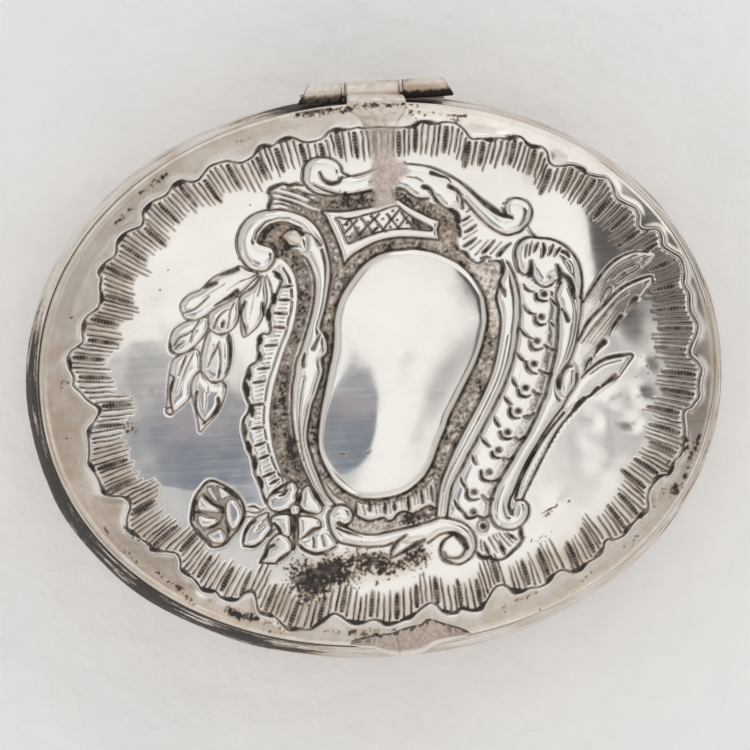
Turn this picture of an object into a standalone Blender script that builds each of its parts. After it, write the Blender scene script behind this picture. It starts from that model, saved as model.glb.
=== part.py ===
"""Oval hinged silver box with a chased and embossed lid.

The box lies on its flat base plate with the lid upwards. The origin is the
centre of the oval on the underside of the base. +X runs along the oval, +Y
points to the hinge, +Z goes up. All lengths are in metres.
"""

import math

import bmesh
import bpy
from mathutils import Matrix

# Oval plan

LID_LENGTH = 0.0577
LID_WIDTH = 0.0461
OVAL_EXPONENT = 2.09
OVAL_STEPS = 80

# Body: a bulged wall band on a flat plate

BODY_HEIGHT = 0.0120
WALL_BULGE = 0.00115
WALL_FOOT_INSET = 0.0013
WALL_THICKNESS = 0.0006
WALL_BULGE_HEIGHT = 0.0064
BASE_THICKNESS = 0.0008
BASE_OVERHANG = 0.0003
BASE_EDGE_BEVEL = 0.0002
SEAT_GAP = 0.0003

# Bezel: the inner band that the lid closes over

BEZEL_THICKNESS = 0.0005
BEZEL_STAND = 0.0016
BEZEL_DEPTH = 0.0034

# Lid: a straight rim band under a domed sheet

LID_RIM_HEIGHT = 0.0024
LID_RIM_THICKNESS = 0.0006
LID_RIM_BEAD = 0.00025
LID_PARTING_GAP = 0.0003
LID_SHEET = 0.0006
DOME_RISE = 0.0022
DOME_EXPONENT = 0.75
DOME_RINGS = 7

# Hinge: three tubes on one pin, set a little off the middle

HINGE_OFFSET = 0.0011
BARREL_RADIUS = 0.00085
PIN_RADIUS = 0.0004
PIN_CLEARANCE = 0.00006
PIN_RECESS = 0.0001
LEFT_KNUCKLE_LENGTH = 0.0033
LID_KNUCKLE_LENGTH = 0.0047
RIGHT_KNUCKLE_LENGTH = 0.0039
KNUCKLE_GAP = 0.00025
BARREL_SEAT_GAP = 0.00035
BARREL_SIDES = 24
BEARER_THICKNESS = 0.0006
BEARER_HEIGHT = 0.0010
BEARER_OVERRUN = 0.0004

# Soldered pieces on the lid

STRAP_THICKNESS = 0.00045
STRAP_LIFT_SHARES = (0.0, 0.2, 0.8, 1.0, 1.0, 1.0)
LIP_THICKNESS = 0.0005
LIP_DROP = 0.00035

# Embossed forms that stand on the domed sheet

RELIEF_HEIGHT = 0.00045
RELIEF_SUNK = 0.0003
BOSS_HEIGHT = 0.0011
BOSS_HALF_LENGTH = 0.0108
BOSS_HALF_WIDTH = 0.0068
BOSS_TAPER = 0.16
SCROLL_HALF_WIDTH = 0.00068
RAIL_HALF_WIDTH = 0.0008
FRAME_HALF_WIDTH = 0.0003
LEAF_HALF_WIDTH = 0.00095
REED_HALF_WIDTH = 0.0005
PETAL_HALF_WIDTH = 0.00065
BALL_RADIUS = 0.0009
PETAL_LENGTH = 0.0019
PETAL_COUNT = 5
BORDER_SHARE = 0.885
BORDER_WAVE = 0.0005
BORDER_SCALLOPS = 46
BORDER_STEPS = 3
BORDER_GROOVE_HALF_WIDTH = 0.00025
BORDER_GROOVE_DEPTH = 0.0002

# The ornament was laid out on a picture of the lid, in picture pixels

PICTURE_CENTRE_PIXELS = (379.4, 373.8)
PICTURE_HALF_LENGTH_PIXELS = 339.8
PICTURE_HALF_WIDTH_PIXELS = 271.4
PICTURE_ROLL = math.radians(3.65)

TOP_SCROLL_PIXELS = [(336, 166), (322, 160), (309, 168), (311, 182), (328, 189), (350, 186),
                     (372, 181), (398, 173), (424, 174), (450, 184), (474, 200), (490, 217),
                     (506, 228), (521, 224), (526, 211)]
LEFT_SCROLL_PIXELS = [(247, 265), (241, 247), (250, 226), (275, 213), (302, 221), (317, 241),
                      (322, 266), (321, 294), (313, 325), (304, 352), (302, 385), (299, 414),
                      (303, 443), (316, 475), (332, 503)]
INNER_RAIL_PIXELS = [(509, 262), (510, 290), (509, 322), (500, 372), (479, 417), (459, 450),
                     (443, 483), (441, 514)]
OUTER_RAIL_PIXELS = [(573, 262), (577, 288), (571, 318), (566, 348), (561, 378), (550, 410),
                     (532, 444), (513, 474), (502, 500), (505, 518)]
BOTTOM_SCROLL_PIXELS = [(331, 524), (346, 540), (372, 546), (402, 541), (428, 530), (452, 525),
                        (469, 534), (471, 550), (458, 559)]
BALL_PIXELS = [(325, 174), (259, 254), (342, 516), (515, 214), (516, 513), (456, 545)]
FRAME_PIXELS = [(331, 213), (352, 214), (375, 209), (397, 203), (415, 213), (434, 224),
                (434, 236), (415, 235), (398, 235), (380, 238), (362, 245), (346, 257)]
LEAF_PIXELS = [[(251, 277), (220, 289), (183, 309)],
               [(233, 302), (225, 314), (214, 327)],
               [(262, 282), (252, 302), (244, 332)],
               [(205, 325), (190, 337), (170, 350)],
               [(214, 338), (215, 358), (214, 380)],
               [(195, 354), (177, 382), (168, 413)],
               [(192, 392), (200, 408), (206, 424)],
               [(229, 492), (214, 514), (212, 540)],
               [(204, 492), (198, 512), (206, 534)],
               [(262, 524), (257, 534), (248, 546)],
               [(288, 540), (279, 552), (270, 562)],
               [(526, 250), (520, 261), (521, 274)],
               [(548, 250), (547, 268), (546, 286)],
               [(414, 178), (426, 192), (438, 204)],
               [(438, 184), (450, 197), (461, 210)],
               [(270, 204), (276, 193), (286, 187)],
               [(418, 536), (408, 548), (396, 558)]]
REED_PIXELS = [[(583, 301), (608, 272), (646, 255)],
               [(583, 334), (612, 302), (651, 279)],
               [(586, 373), (609, 357), (633, 352)],
               [(524, 488), (560, 408), (616, 377)]]
FLOWER_PIXELS = (294, 510)
BOSS_TOP_PIXELS = (438, 254)
BOSS_BOTTOM_PIXELS = (372, 500)
STRAP_LEFT_PIXELS = [(360, 113), (369, 133), (374, 150), (373, 166), (376, 188), (376, 212)]
STRAP_RIGHT_PIXELS = [(412, 111), (396, 127), (389, 148), (405, 171), (394, 188), (392, 205)]
LIP_PIXELS = [(364, 642), (385, 636), (402, 629), (421, 623), (437, 620), (460, 627), (470, 633),
              (449, 640), (430, 650), (415, 655), (403, 657), (390, 654), (378, 649)]

# Overrun of a cutting body past the face it cuts, and the reach of a weld

CUT_OVERRUN = 0.0005
WELD_DISTANCE = 0.000002

# Worked out from the values above

WALL_FOOT_Z = BASE_THICKNESS + SEAT_GAP
LID_RIM_Z = BODY_HEIGHT + LID_PARTING_GAP
LID_RIM_TOP_Z = LID_RIM_Z + LID_RIM_HEIGHT
LID_EDGE_Z = LID_RIM_TOP_Z + SEAT_GAP + LID_SHEET
AXIS_Y = LID_WIDTH / 2 + BARREL_SEAT_GAP + BARREL_RADIUS
AXIS_Z = BODY_HEIGHT + LID_PARTING_GAP / 2
BORE_RADIUS = PIN_RADIUS + PIN_CLEARANCE


def clear_scene():
    for old in list(bpy.data.objects):
        bpy.data.objects.remove(old, do_unlink=True)


def new_collection(name):
    collection = bpy.data.collections.new(name)
    bpy.context.scene.collection.children.link(collection)
    return collection


clear_scene()
PARTS = new_collection("silver_box")
CUTTERS = new_collection("cutters")
RELIEF = new_collection("relief_forms")


def metal(name, colour, roughness):
    material = bpy.data.materials.new(name)
    material.use_nodes = True
    shader = material.node_tree.nodes["Principled BSDF"]
    shader.inputs["Base Color"].default_value = (*colour, 1.0)
    shader.inputs["Roughness"].default_value = roughness
    shader.inputs["Metallic"].default_value = 1.0
    return material


SILVER = metal("worn_silver", (0.83, 0.80, 0.76), 0.24)
CHASED = metal("chased_silver", (0.80, 0.77, 0.73), 0.28)
TARNISHED = metal("tarnished_silver", (0.46, 0.42, 0.38), 0.36)
SOLDERED = metal("soldered_silver", (0.66, 0.60, 0.55), 0.50)
PIN_METAL = metal("pin_silver", (0.62, 0.60, 0.57), 0.34)


def add_object(name, mesh, collection, material=None):
    thing = bpy.data.objects.new(name, mesh)
    collection.objects.link(thing)
    if material:
        mesh.materials.clear()
        mesh.materials.append(material)
    return thing


def smooth(thing, degrees=35):
    thing.data.shade_smooth()
    thing.data.set_sharp_from_angle(angle=math.radians(degrees))


def mesh_from(thing):
    """Welded mesh of a curve or a modified object, which is then removed."""
    bpy.context.view_layer.update()
    graph = bpy.context.evaluated_depsgraph_get()
    mesh = bpy.data.meshes.new_from_object(thing.evaluated_get(graph))
    work = bmesh.new()
    work.from_mesh(mesh)
    bmesh.ops.remove_doubles(work, verts=work.verts, dist=WELD_DISTANCE)
    bmesh.ops.recalc_face_normals(work, faces=work.faces)
    work.to_mesh(mesh)
    work.free()
    bpy.data.objects.remove(thing, do_unlink=True)
    return mesh


# The oval and the sections that run along it


def signed_power(value, power):
    return math.copysign(abs(value) ** power, value)


def oval_place(turn, offset=0.0):
    """Point on the lid's oval at an angle, moved outwards by an offset."""
    half_length = LID_LENGTH / 2
    half_width = LID_WIDTH / 2
    along = math.cos(turn)
    across = math.sin(turn)
    x = half_length * signed_power(along, 2 / OVAL_EXPONENT)
    y = half_width * signed_power(across, 2 / OVAL_EXPONENT)
    normal_x = signed_power(along, 2 - 2 / OVAL_EXPONENT) / half_length
    normal_y = signed_power(across, 2 - 2 / OVAL_EXPONENT) / half_width
    size = math.hypot(normal_x, normal_y)
    return x + offset * normal_x / size, y + offset * normal_y / size


def oval_turns():
    return [2 * math.pi * step / OVAL_STEPS for step in range(OVAL_STEPS)]


def poly_curve(name, points, closed, dimensions="3D"):
    curve = bpy.data.curves.new(name, "CURVE")
    curve.dimensions = dimensions
    spline = curve.splines.new("POLY")
    spline.points.add(len(points) - 1)
    for target, point in zip(spline.points, points):
        target.co = (point[0], point[1], point[2] if len(point) > 2 else 0.0, 1.0)
    spline.use_cyclic_u = closed
    return curve


def swept_section(name, places, closed, section):
    """Mesh of a section, given as (to the right, height), swept along a flat path."""
    profile = bpy.data.objects.new(name + "_section", poly_curve(name, section, True, "2D"))
    path = poly_curve(name + "_path", places, closed)
    path.twist_mode = "Z_UP"
    path.bevel_mode = "OBJECT"
    path.bevel_object = profile
    path.use_fill_caps = True
    runner = bpy.data.objects.new(name + "_runner", path)
    for helper in (profile, runner):
        CUTTERS.objects.link(helper)
    mesh = mesh_from(runner)
    bpy.data.objects.remove(profile, do_unlink=True)
    return mesh


def oval_band(name, section, material):
    places = [oval_place(turn) for turn in oval_turns()]
    band = add_object(name, swept_section(name, places, True, section), PARTS, material)
    smooth(band)
    return band


# Body


def wall_offset(height):
    """How far the wall's outer face stands out from the lid's oval at a height."""
    if height >= WALL_BULGE_HEIGHT:
        share = (height - WALL_BULGE_HEIGHT) / (BODY_HEIGHT - WALL_BULGE_HEIGHT)
        return WALL_BULGE * (1 - share ** 2)
    share = (WALL_BULGE_HEIGHT - height) / (WALL_BULGE_HEIGHT - WALL_FOOT_Z)
    return WALL_BULGE - (WALL_BULGE + WALL_FOOT_INSET) * share ** 2


def build_body_wall():
    steps = 7
    heights = [WALL_FOOT_Z + (BODY_HEIGHT - WALL_FOOT_Z) * step / steps for step in range(steps + 1)]
    outer = [(wall_offset(height), height) for height in heights]
    inner = [(wall_offset(height) - WALL_THICKNESS, height) for height in reversed(heights)]
    oval_band("body_wall", outer + inner, TARNISHED)


def build_base_plate():
    offset = BASE_OVERHANG - WALL_FOOT_INSET
    places = [oval_place(turn, offset) for turn in oval_turns()]
    outline = poly_curve("base_outline", places, True, "2D")
    outline.fill_mode = "BOTH"
    outline.extrude = BASE_THICKNESS / 2
    runner = bpy.data.objects.new("base_outline", outline)
    CUTTERS.objects.link(runner)
    plate = add_object("base_plate", mesh_from(runner), PARTS, SILVER)
    plate.location.z = BASE_THICKNESS / 2
    edge = plate.modifiers.new("edge", "BEVEL")
    edge.width = BASE_EDGE_BEVEL
    edge.segments = 1
    edge.limit_method = "ANGLE"
    smooth(plate)


def build_bezel():
    outer = -WALL_THICKNESS - SEAT_GAP
    inner = outer - BEZEL_THICKNESS
    low = BODY_HEIGHT - BEZEL_DEPTH
    high = BODY_HEIGHT + BEZEL_STAND
    oval_band("body_bezel", [(outer, low), (outer, high), (inner, high), (inner, low)], SILVER)


# Lid


def build_lid_rim():
    inner = -LID_RIM_THICKNESS
    bead = LID_RIM_Z + LID_RIM_BEAD
    section = [(inner, LID_RIM_Z), (-LID_RIM_BEAD, LID_RIM_Z), (0.0, bead), (0.0, LID_RIM_TOP_Z),
               (inner, LID_RIM_TOP_Z)]
    oval_band("lid_rim", section, SILVER)


def dome_height(share):
    """Height of the sheet's top face at a share of the way to its edge."""
    return LID_EDGE_Z + DOME_RISE * max(0.0, 1 - share ** 2) ** DOME_EXPONENT


def edge_share(x, y):
    along = abs(2 * x / LID_LENGTH) ** OVAL_EXPONENT
    across = abs(2 * y / LID_WIDTH) ** OVAL_EXPONENT
    return (along + across) ** (1 / OVAL_EXPONENT)


def sheet_height(x, y):
    return dome_height(edge_share(x, y))


def lid_place(pixel):
    """Place on the lid, in metres, of a place in the picture."""
    right = pixel[0] - PICTURE_CENTRE_PIXELS[0]
    up = PICTURE_CENTRE_PIXELS[1] - pixel[1]
    along = right * math.cos(PICTURE_ROLL) + up * math.sin(PICTURE_ROLL)
    across = up * math.cos(PICTURE_ROLL) - right * math.sin(PICTURE_ROLL)
    return (along / PICTURE_HALF_LENGTH_PIXELS * LID_LENGTH / 2,
            across / PICTURE_HALF_WIDTH_PIXELS * LID_WIDTH / 2)


def domed_sheet():
    """Half a sphere, reshaped to the oval dome and given its thickness."""
    work = bmesh.new()
    bmesh.ops.create_uvsphere(work, u_segments=OVAL_STEPS, v_segments=2 * DOME_RINGS, radius=1.0)
    lower = [vert for vert in work.verts if vert.co.z < -0.5 / DOME_RINGS]
    bmesh.ops.delete(work, geom=lower, context="VERTS")
    for vert in work.verts:
        share = 1 - math.asin(min(1.0, max(0.0, vert.co.z))) / (math.pi / 2)
        edge_x, edge_y = oval_place(math.atan2(vert.co.y, vert.co.x))
        vert.co = (edge_x * share, edge_y * share, dome_height(share))
    mesh = bpy.data.meshes.new("sheet")
    work.to_mesh(mesh)
    work.free()
    return mesh


def relief_section(half_width):
    """Half-round section with a sunk foot, as (sideways, height)."""
    round_shares = [(-1.0, 0.0), (-0.55, 0.85), (0.55, 0.85), (1.0, 0.0)]
    top = [(half_width * side, RELIEF_HEIGHT * rise) for side, rise in round_shares]
    return [(-half_width, -RELIEF_SUNK)] + top + [(half_width, -RELIEF_SUNK)]


def relief_run(name, places, half_width, end_share, detail=3):
    """Raised run along places on the sheet, drawn in towards its ends or closed at 1."""
    profile = bpy.data.objects.new(name + "_section",
                                   poly_curve(name, relief_section(half_width), True, "2D"))
    curve = bpy.data.curves.new(name, "CURVE")
    curve.dimensions = "3D"
    curve.twist_mode = "Z_UP"
    curve.resolution_u = detail
    curve.render_resolution_u = detail
    curve.bevel_mode = "OBJECT"
    curve.bevel_object = profile
    curve.use_fill_caps = True
    spline = curve.splines.new("BEZIER")
    spline.bezier_points.add(len(places) - 1)
    last = len(places) - 1
    for index, (target, (x, y)) in enumerate(zip(spline.bezier_points, places)):
        target.co = (x, y, sheet_height(x, y))
        target.handle_left_type = "AUTO"
        target.handle_right_type = "AUTO"
        target.radius = end_share if index in (0, last) else 1.0
    spline.use_cyclic_u = end_share == 1.0
    runner = bpy.data.objects.new(name + "_runner", curve)
    for helper in (profile, runner):
        CUTTERS.objects.link(helper)
    mesh = mesh_from(runner)
    bpy.data.objects.remove(profile, do_unlink=True)
    return hidden_form(add_object(name, mesh, RELIEF))


def hidden_form(form):
    form.hide_render = True
    form.display_type = "WIRE"
    return form


def boss_form():
    """Smooth pear-shaped boss in the middle of the lid."""
    top = lid_place(BOSS_TOP_PIXELS)
    bottom = lid_place(BOSS_BOTTOM_PIXELS)
    centre_x = (top[0] + bottom[0]) / 2
    centre_y = (top[1] + bottom[1]) / 2
    lean = math.atan2(top[0] - bottom[0], top[1] - bottom[1])
    work = bmesh.new()
    bmesh.ops.create_uvsphere(work, u_segments=28, v_segments=12, radius=1.0)
    for vert in work.verts:
        broad = 1 + BOSS_TAPER * vert.co.y
        rise = BOSS_HEIGHT if vert.co.z > 0 else RELIEF_SUNK
        vert.co = (vert.co.x * BOSS_HALF_WIDTH * broad, vert.co.y * BOSS_HALF_LENGTH, vert.co.z * rise)
    bmesh.ops.transform(work, matrix=Matrix.Rotation(-lean, 4, "Z"), verts=work.verts)
    for vert in work.verts:
        vert.co.x += centre_x
        vert.co.y += centre_y
        vert.co.z += sheet_height(vert.co.x, vert.co.y)
    mesh = bpy.data.meshes.new("boss")
    work.to_mesh(mesh)
    work.free()
    hidden_form(add_object("boss", mesh, RELIEF))


def ball_form(name, pixel):
    """Low round knob at the eye of a scroll."""
    centre_x, centre_y = lid_place(pixel)
    work = bmesh.new()
    bmesh.ops.create_uvsphere(work, u_segments=12, v_segments=6, radius=1.0)
    for vert in work.verts:
        rise = RELIEF_HEIGHT if vert.co.z > 0 else RELIEF_SUNK
        vert.co = (vert.co.x * BALL_RADIUS, vert.co.y * BALL_RADIUS, vert.co.z * rise)
        vert.co.x += centre_x
        vert.co.y += centre_y
        vert.co.z += sheet_height(vert.co.x, vert.co.y)
    mesh = bpy.data.meshes.new(name)
    work.to_mesh(mesh)
    work.free()
    hidden_form(add_object(name, mesh, RELIEF))


def flower_forms():
    centre_x, centre_y = lid_place(FLOWER_PIXELS)
    for petal in range(PETAL_COUNT):
        turn = 2 * math.pi * (petal + 0.5) / PETAL_COUNT
        reach_shares = (0.25, 0.65, 1.0)
        places = [(centre_x + PETAL_LENGTH * share * math.cos(turn),
                   centre_y + PETAL_LENGTH * share * math.sin(turn)) for share in reach_shares]
        relief_run(f"petal_{petal}", places, PETAL_HALF_WIDTH, 0.6, detail=2)


def border_cutter():
    """Scalloped line chased round the lid, as one closed cutting tube."""
    count = BORDER_SCALLOPS * BORDER_STEPS
    points = []
    for step in range(count):
        turn = 2 * math.pi * step / count
        wave = abs(math.sin(math.pi * step / BORDER_STEPS))
        edge_x, edge_y = oval_place(turn)
        reach = BORDER_SHARE + BORDER_WAVE * wave / math.hypot(edge_x, edge_y)
        x = edge_x * reach
        y = edge_y * reach
        points.append((x, y, sheet_height(x, y) + CUT_OVERRUN))
    curve = poly_curve("border_line", points, True)
    curve.twist_mode = "Z_UP"
    curve.bevel_mode = "OBJECT"
    depth = CUT_OVERRUN + BORDER_GROOVE_DEPTH
    half_width = BORDER_GROOVE_HALF_WIDTH
    section = [(-half_width, 0.0), (half_width, 0.0), (half_width, -CUT_OVERRUN), (0.0, -depth),
               (-half_width, -CUT_OVERRUN)]
    profile = bpy.data.objects.new("border_section", poly_curve("border_section", section, True, "2D"))
    curve.bevel_object = profile
    runner = bpy.data.objects.new("border_line", curve)
    for helper in (profile, runner):
        CUTTERS.objects.link(helper)
    mesh = mesh_from(runner)
    bpy.data.objects.remove(profile, do_unlink=True)
    return hidden_form(add_object("border_cutter", mesh, CUTTERS))


def build_lid_panel():
    panel = add_object("lid_panel", domed_sheet(), PARTS, CHASED)
    shell = panel.modifiers.new("sheet", "SOLIDIFY")
    shell.thickness = LID_SHEET
    shell.offset = -1.0
    shell.use_even_offset = True
    runs = [("top_scroll", TOP_SCROLL_PIXELS, SCROLL_HALF_WIDTH),
            ("left_scroll", LEFT_SCROLL_PIXELS, SCROLL_HALF_WIDTH),
            ("bottom_scroll", BOTTOM_SCROLL_PIXELS, SCROLL_HALF_WIDTH),
            ("inner_rail", INNER_RAIL_PIXELS, RAIL_HALF_WIDTH),
            ("outer_rail", OUTER_RAIL_PIXELS, RAIL_HALF_WIDTH)]
    for name, pixels, half_width in runs:
        relief_run(name, [lid_place(pixel) for pixel in pixels], half_width, 0.8)
    relief_run("trellis_frame", [lid_place(pixel) for pixel in FRAME_PIXELS], FRAME_HALF_WIDTH, 1.0)
    for index, pixels in enumerate(LEAF_PIXELS):
        relief_run(f"leaf_{index}", [lid_place(pixel) for pixel in pixels], LEAF_HALF_WIDTH, 0.35)
    for index, pixels in enumerate(REED_PIXELS):
        relief_run(f"reed_{index}", [lid_place(pixel) for pixel in pixels], REED_HALF_WIDTH, 0.4)
    for index, pixel in enumerate(BALL_PIXELS):
        ball_form(f"ball_{index}", pixel)
    flower_forms()
    boss_form()
    for form in RELIEF.objects:
        joined = panel.modifiers.new(form.name, "BOOLEAN")
        joined.operation = "UNION"
        joined.object = form
    groove = panel.modifiers.new("border", "BOOLEAN")
    groove.operation = "DIFFERENCE"
    groove.object = border_cutter()
    smooth(panel, 40)


# Pieces soldered on the lid


def sheet_patch(name, outline, thickness, clearance, drop=0.0):
    """Thin plate that follows the lid's sheet, a clearance above it."""
    work = bmesh.new()
    work.faces.new([work.verts.new((x, y, 0.0)) for x, y in outline])
    bmesh.ops.triangulate(work, faces=work.faces)
    bmesh.ops.subdivide_edges(work, edges=work.edges, cuts=1, use_grid_fill=True)
    for vert in work.verts:
        share = edge_share(vert.co.x, vert.co.y)
        overhang = max(0.0, share - 1) * LID_WIDTH / 2
        vert.co.z = sheet_height(vert.co.x, vert.co.y) + clearance - drop * min(1.0, overhang / LIP_DROP)
    bmesh.ops.recalc_face_normals(work, faces=work.faces)
    if sum(face.normal.z for face in work.faces) < 0:
        bmesh.ops.reverse_faces(work, faces=work.faces)
    mesh = bpy.data.meshes.new(name)
    work.to_mesh(mesh)
    work.free()
    patch = add_object(name, mesh, PARTS, SOLDERED)
    shell = patch.modifiers.new("plate", "SOLIDIFY")
    shell.thickness = thickness
    shell.offset = 1.0
    shell.use_even_offset = True
    smooth(patch)
    return patch


def build_thumb_lip():
    outline = [lid_place(pixel) for pixel in LIP_PIXELS]
    sheet_patch("thumb_lip", outline, LIP_THICKNESS, SEAT_GAP, LIP_DROP)


# Hinge


def axis_empty(name):
    empty = bpy.data.objects.new(name, None)
    empty.location = (HINGE_OFFSET, AXIS_Y, AXIS_Z)
    PARTS.objects.link(empty)
    return empty


def knuckle_spans():
    """Ends of the three tubes along X, from the middle of the hinge."""
    centre = LID_KNUCKLE_LENGTH / 2
    return {"body_knuckle_left": (-centre - KNUCKLE_GAP - LEFT_KNUCKLE_LENGTH, -centre - KNUCKLE_GAP),
            "lid_knuckle": (-centre, centre),
            "body_knuckle_right": (centre + KNUCKLE_GAP, centre + KNUCKLE_GAP + RIGHT_KNUCKLE_LENGTH)}


def rod(name, radius, low, high, collection, material=None):
    """Round rod along X from low to high."""
    work = bmesh.new()
    bmesh.ops.create_cone(work, cap_ends=True, segments=BARREL_SIDES, radius1=radius, radius2=radius,
                          depth=high - low)
    bmesh.ops.transform(work, matrix=Matrix.Rotation(math.pi / 2, 4, "Y"), verts=work.verts)
    bmesh.ops.translate(work, vec=((low + high) / 2, 0.0, 0.0), verts=work.verts)
    mesh = bpy.data.meshes.new(name)
    work.to_mesh(mesh)
    work.free()
    return add_object(name, mesh, collection, material)


def build_hinge(body_axis, lid_axis):
    spans = knuckle_spans()
    ends = [end for span in spans.values() for end in span]
    bore = hidden_form(rod("hinge_bore", BORE_RADIUS, min(ends) - CUT_OVERRUN, max(ends) + CUT_OVERRUN,
                           CUTTERS))
    bore.parent = body_axis
    for name, (low, high) in spans.items():
        tube = rod(name, BARREL_RADIUS, low, high, PARTS, SILVER)
        tube.parent = lid_axis if name == "lid_knuckle" else body_axis
        hole = tube.modifiers.new("bore", "BOOLEAN")
        hole.operation = "DIFFERENCE"
        hole.object = bore
        smooth(tube)
    pin = rod("hinge_pin", PIN_RADIUS, min(ends) + PIN_RECESS, max(ends) - PIN_RECESS, PARTS, PIN_METAL)
    pin.parent = body_axis
    smooth(pin)


def build_hinge_bearer():
    """Strip along the back of the wall that carries the two body tubes."""
    ends = [end for span in knuckle_spans().values() for end in span]
    low_x = HINGE_OFFSET + min(ends) - BEARER_OVERRUN
    high_x = HINGE_OFFSET + max(ends) + BEARER_OVERRUN
    back = [oval_place(turn) for turn in oval_turns() if low_x < oval_place(turn)[0] < high_x]
    back = sorted((place for place in back if place[1] > 0), reverse=True)
    top = AXIS_Z - BARREL_RADIUS - SEAT_GAP
    foot = top - BEARER_HEIGHT
    section = [(wall_offset(foot) + SEAT_GAP, foot),
               (wall_offset(top) + SEAT_GAP, top),
               (wall_offset(foot) + SEAT_GAP + BEARER_THICKNESS, top),
               (wall_offset(foot) + SEAT_GAP + BEARER_THICKNESS, foot + BEARER_THICKNESS)]
    mesh = swept_section("hinge_bearer", back, False, section)
    smooth(add_object("hinge_bearer", mesh, PARTS, SILVER))


def build_hinge_strap(lid_axis):
    """Soldered strap from the lid's tube, up the rim and over on to the sheet."""
    left = [lid_place(pixel) for pixel in STRAP_LEFT_PIXELS]
    right = [lid_place(pixel) for pixel in STRAP_RIGHT_PIXELS]
    foot_z = AXIS_Z + BARREL_RADIUS + SEAT_GAP
    rows = []
    for ends, share in zip(zip(left, right), STRAP_LIFT_SHARES):
        clearance = SEAT_GAP + RELIEF_HEIGHT * share
        rows.append([(x, y, sheet_height(x, y) + clearance) for x, y in ends])
    back_y = LID_WIDTH / 2 + SEAT_GAP
    left_x = rows[0][0][0]
    right_x = rows[0][1][0]
    rows.insert(0, [(left_x, back_y, LID_EDGE_Z + SEAT_GAP / 2), (right_x, back_y, LID_EDGE_Z + SEAT_GAP / 2)])
    rows.insert(0, [(left_x, back_y, foot_z), (right_x, back_y, foot_z)])
    work = bmesh.new()
    verts = [[work.verts.new(point) for point in row] for row in rows]
    for near, far in zip(verts, verts[1:]):
        work.faces.new((near[0], near[1], far[1], far[0]))
    bmesh.ops.recalc_face_normals(work, faces=work.faces)
    work.faces.ensure_lookup_table()
    if work.faces[-1].normal.z < 0:
        bmesh.ops.reverse_faces(work, faces=work.faces)
    mesh = bpy.data.meshes.new("lid_hinge_strap")
    work.to_mesh(mesh)
    work.free()
    strap = add_object("lid_hinge_strap", mesh, PARTS, SOLDERED)
    shell = strap.modifiers.new("strap", "SOLIDIFY")
    shell.thickness = STRAP_THICKNESS
    shell.offset = 1.0
    shell.use_even_offset = True
    smooth(strap)


def hang_on_axis(names, axis):
    """Parent finished lid pieces to the hinge axis without moving them."""
    bpy.context.view_layer.update()
    for name in names:
        piece = bpy.data.objects[name]
        piece.parent = axis
        piece.matrix_parent_inverse = axis.matrix_world.inverted()


def build_box():
    body_axis = axis_empty("body_hinge_axis")
    lid_axis = axis_empty("lid_hinge_axis")
    build_base_plate()
    build_body_wall()
    build_bezel()
    build_lid_rim()
    build_lid_panel()
    build_thumb_lip()
    build_hinge(body_axis, lid_axis)
    build_hinge_bearer()
    build_hinge_strap(lid_axis)
    hang_on_axis(["lid_rim", "lid_panel", "thumb_lip", "lid_hinge_strap"], lid_axis)


build_box()
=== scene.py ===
import math

import bpy
import numpy as np
from mathutils import Matrix, Vector


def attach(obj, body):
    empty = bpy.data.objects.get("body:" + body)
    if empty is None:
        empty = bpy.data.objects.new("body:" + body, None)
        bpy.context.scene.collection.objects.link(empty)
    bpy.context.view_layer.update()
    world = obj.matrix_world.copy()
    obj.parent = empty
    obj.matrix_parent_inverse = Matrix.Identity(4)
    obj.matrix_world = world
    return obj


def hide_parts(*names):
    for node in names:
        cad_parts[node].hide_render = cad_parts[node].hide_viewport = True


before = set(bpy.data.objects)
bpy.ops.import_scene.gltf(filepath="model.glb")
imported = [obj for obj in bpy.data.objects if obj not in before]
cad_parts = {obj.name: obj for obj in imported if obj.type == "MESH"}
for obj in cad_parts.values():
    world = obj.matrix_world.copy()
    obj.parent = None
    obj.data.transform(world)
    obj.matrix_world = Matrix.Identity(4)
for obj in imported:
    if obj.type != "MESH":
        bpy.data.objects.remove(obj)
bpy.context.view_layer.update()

# Shared sizes in metres, as in the CAD source
LID_LENGTH = 0.0577
LID_WIDTH = 0.0461
OVAL_EXPONENT = 2.09
BODY_HEIGHT = 0.0120
WALL_FOOT_Z = 0.0011
WALL_BULGE = 0.00115
WALL_BULGE_HEIGHT = 0.0064
WALL_FOOT_INSET = 0.0013
WALL_THICKNESS = 0.0006
LID_RIM_TOP_Z = 0.0147
LID_EDGE_Z = 0.0156
LID_SHEET = 0.0006
DOME_RISE = 0.0022
DOME_EXPONENT = 0.75
AXIS = (0.0011, 0.02425, 0.01215)
BARREL_RADIUS = 0.00085
PIN_RADIUS = 0.0004
PIN_CLEARANCE = 0.00006
MM = 0.001

# The picture: its size, and the lid's seam in it
PICTURE_SIZE = 750
SEAM_CENTRE = (379.4, 373.8)
SEAM_HALF = (339.8, 271.4)
SEAM_ROLL = math.radians(3.65)
PIXELS_PER_METRE = 11778.0
LEAN_LEFT = 2.9
LEAN_FRONT = 1.1
CAMERA_DISTANCE = 0.62
SENSOR = 36.0

SEED = np.random.default_rng(7)


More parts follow.
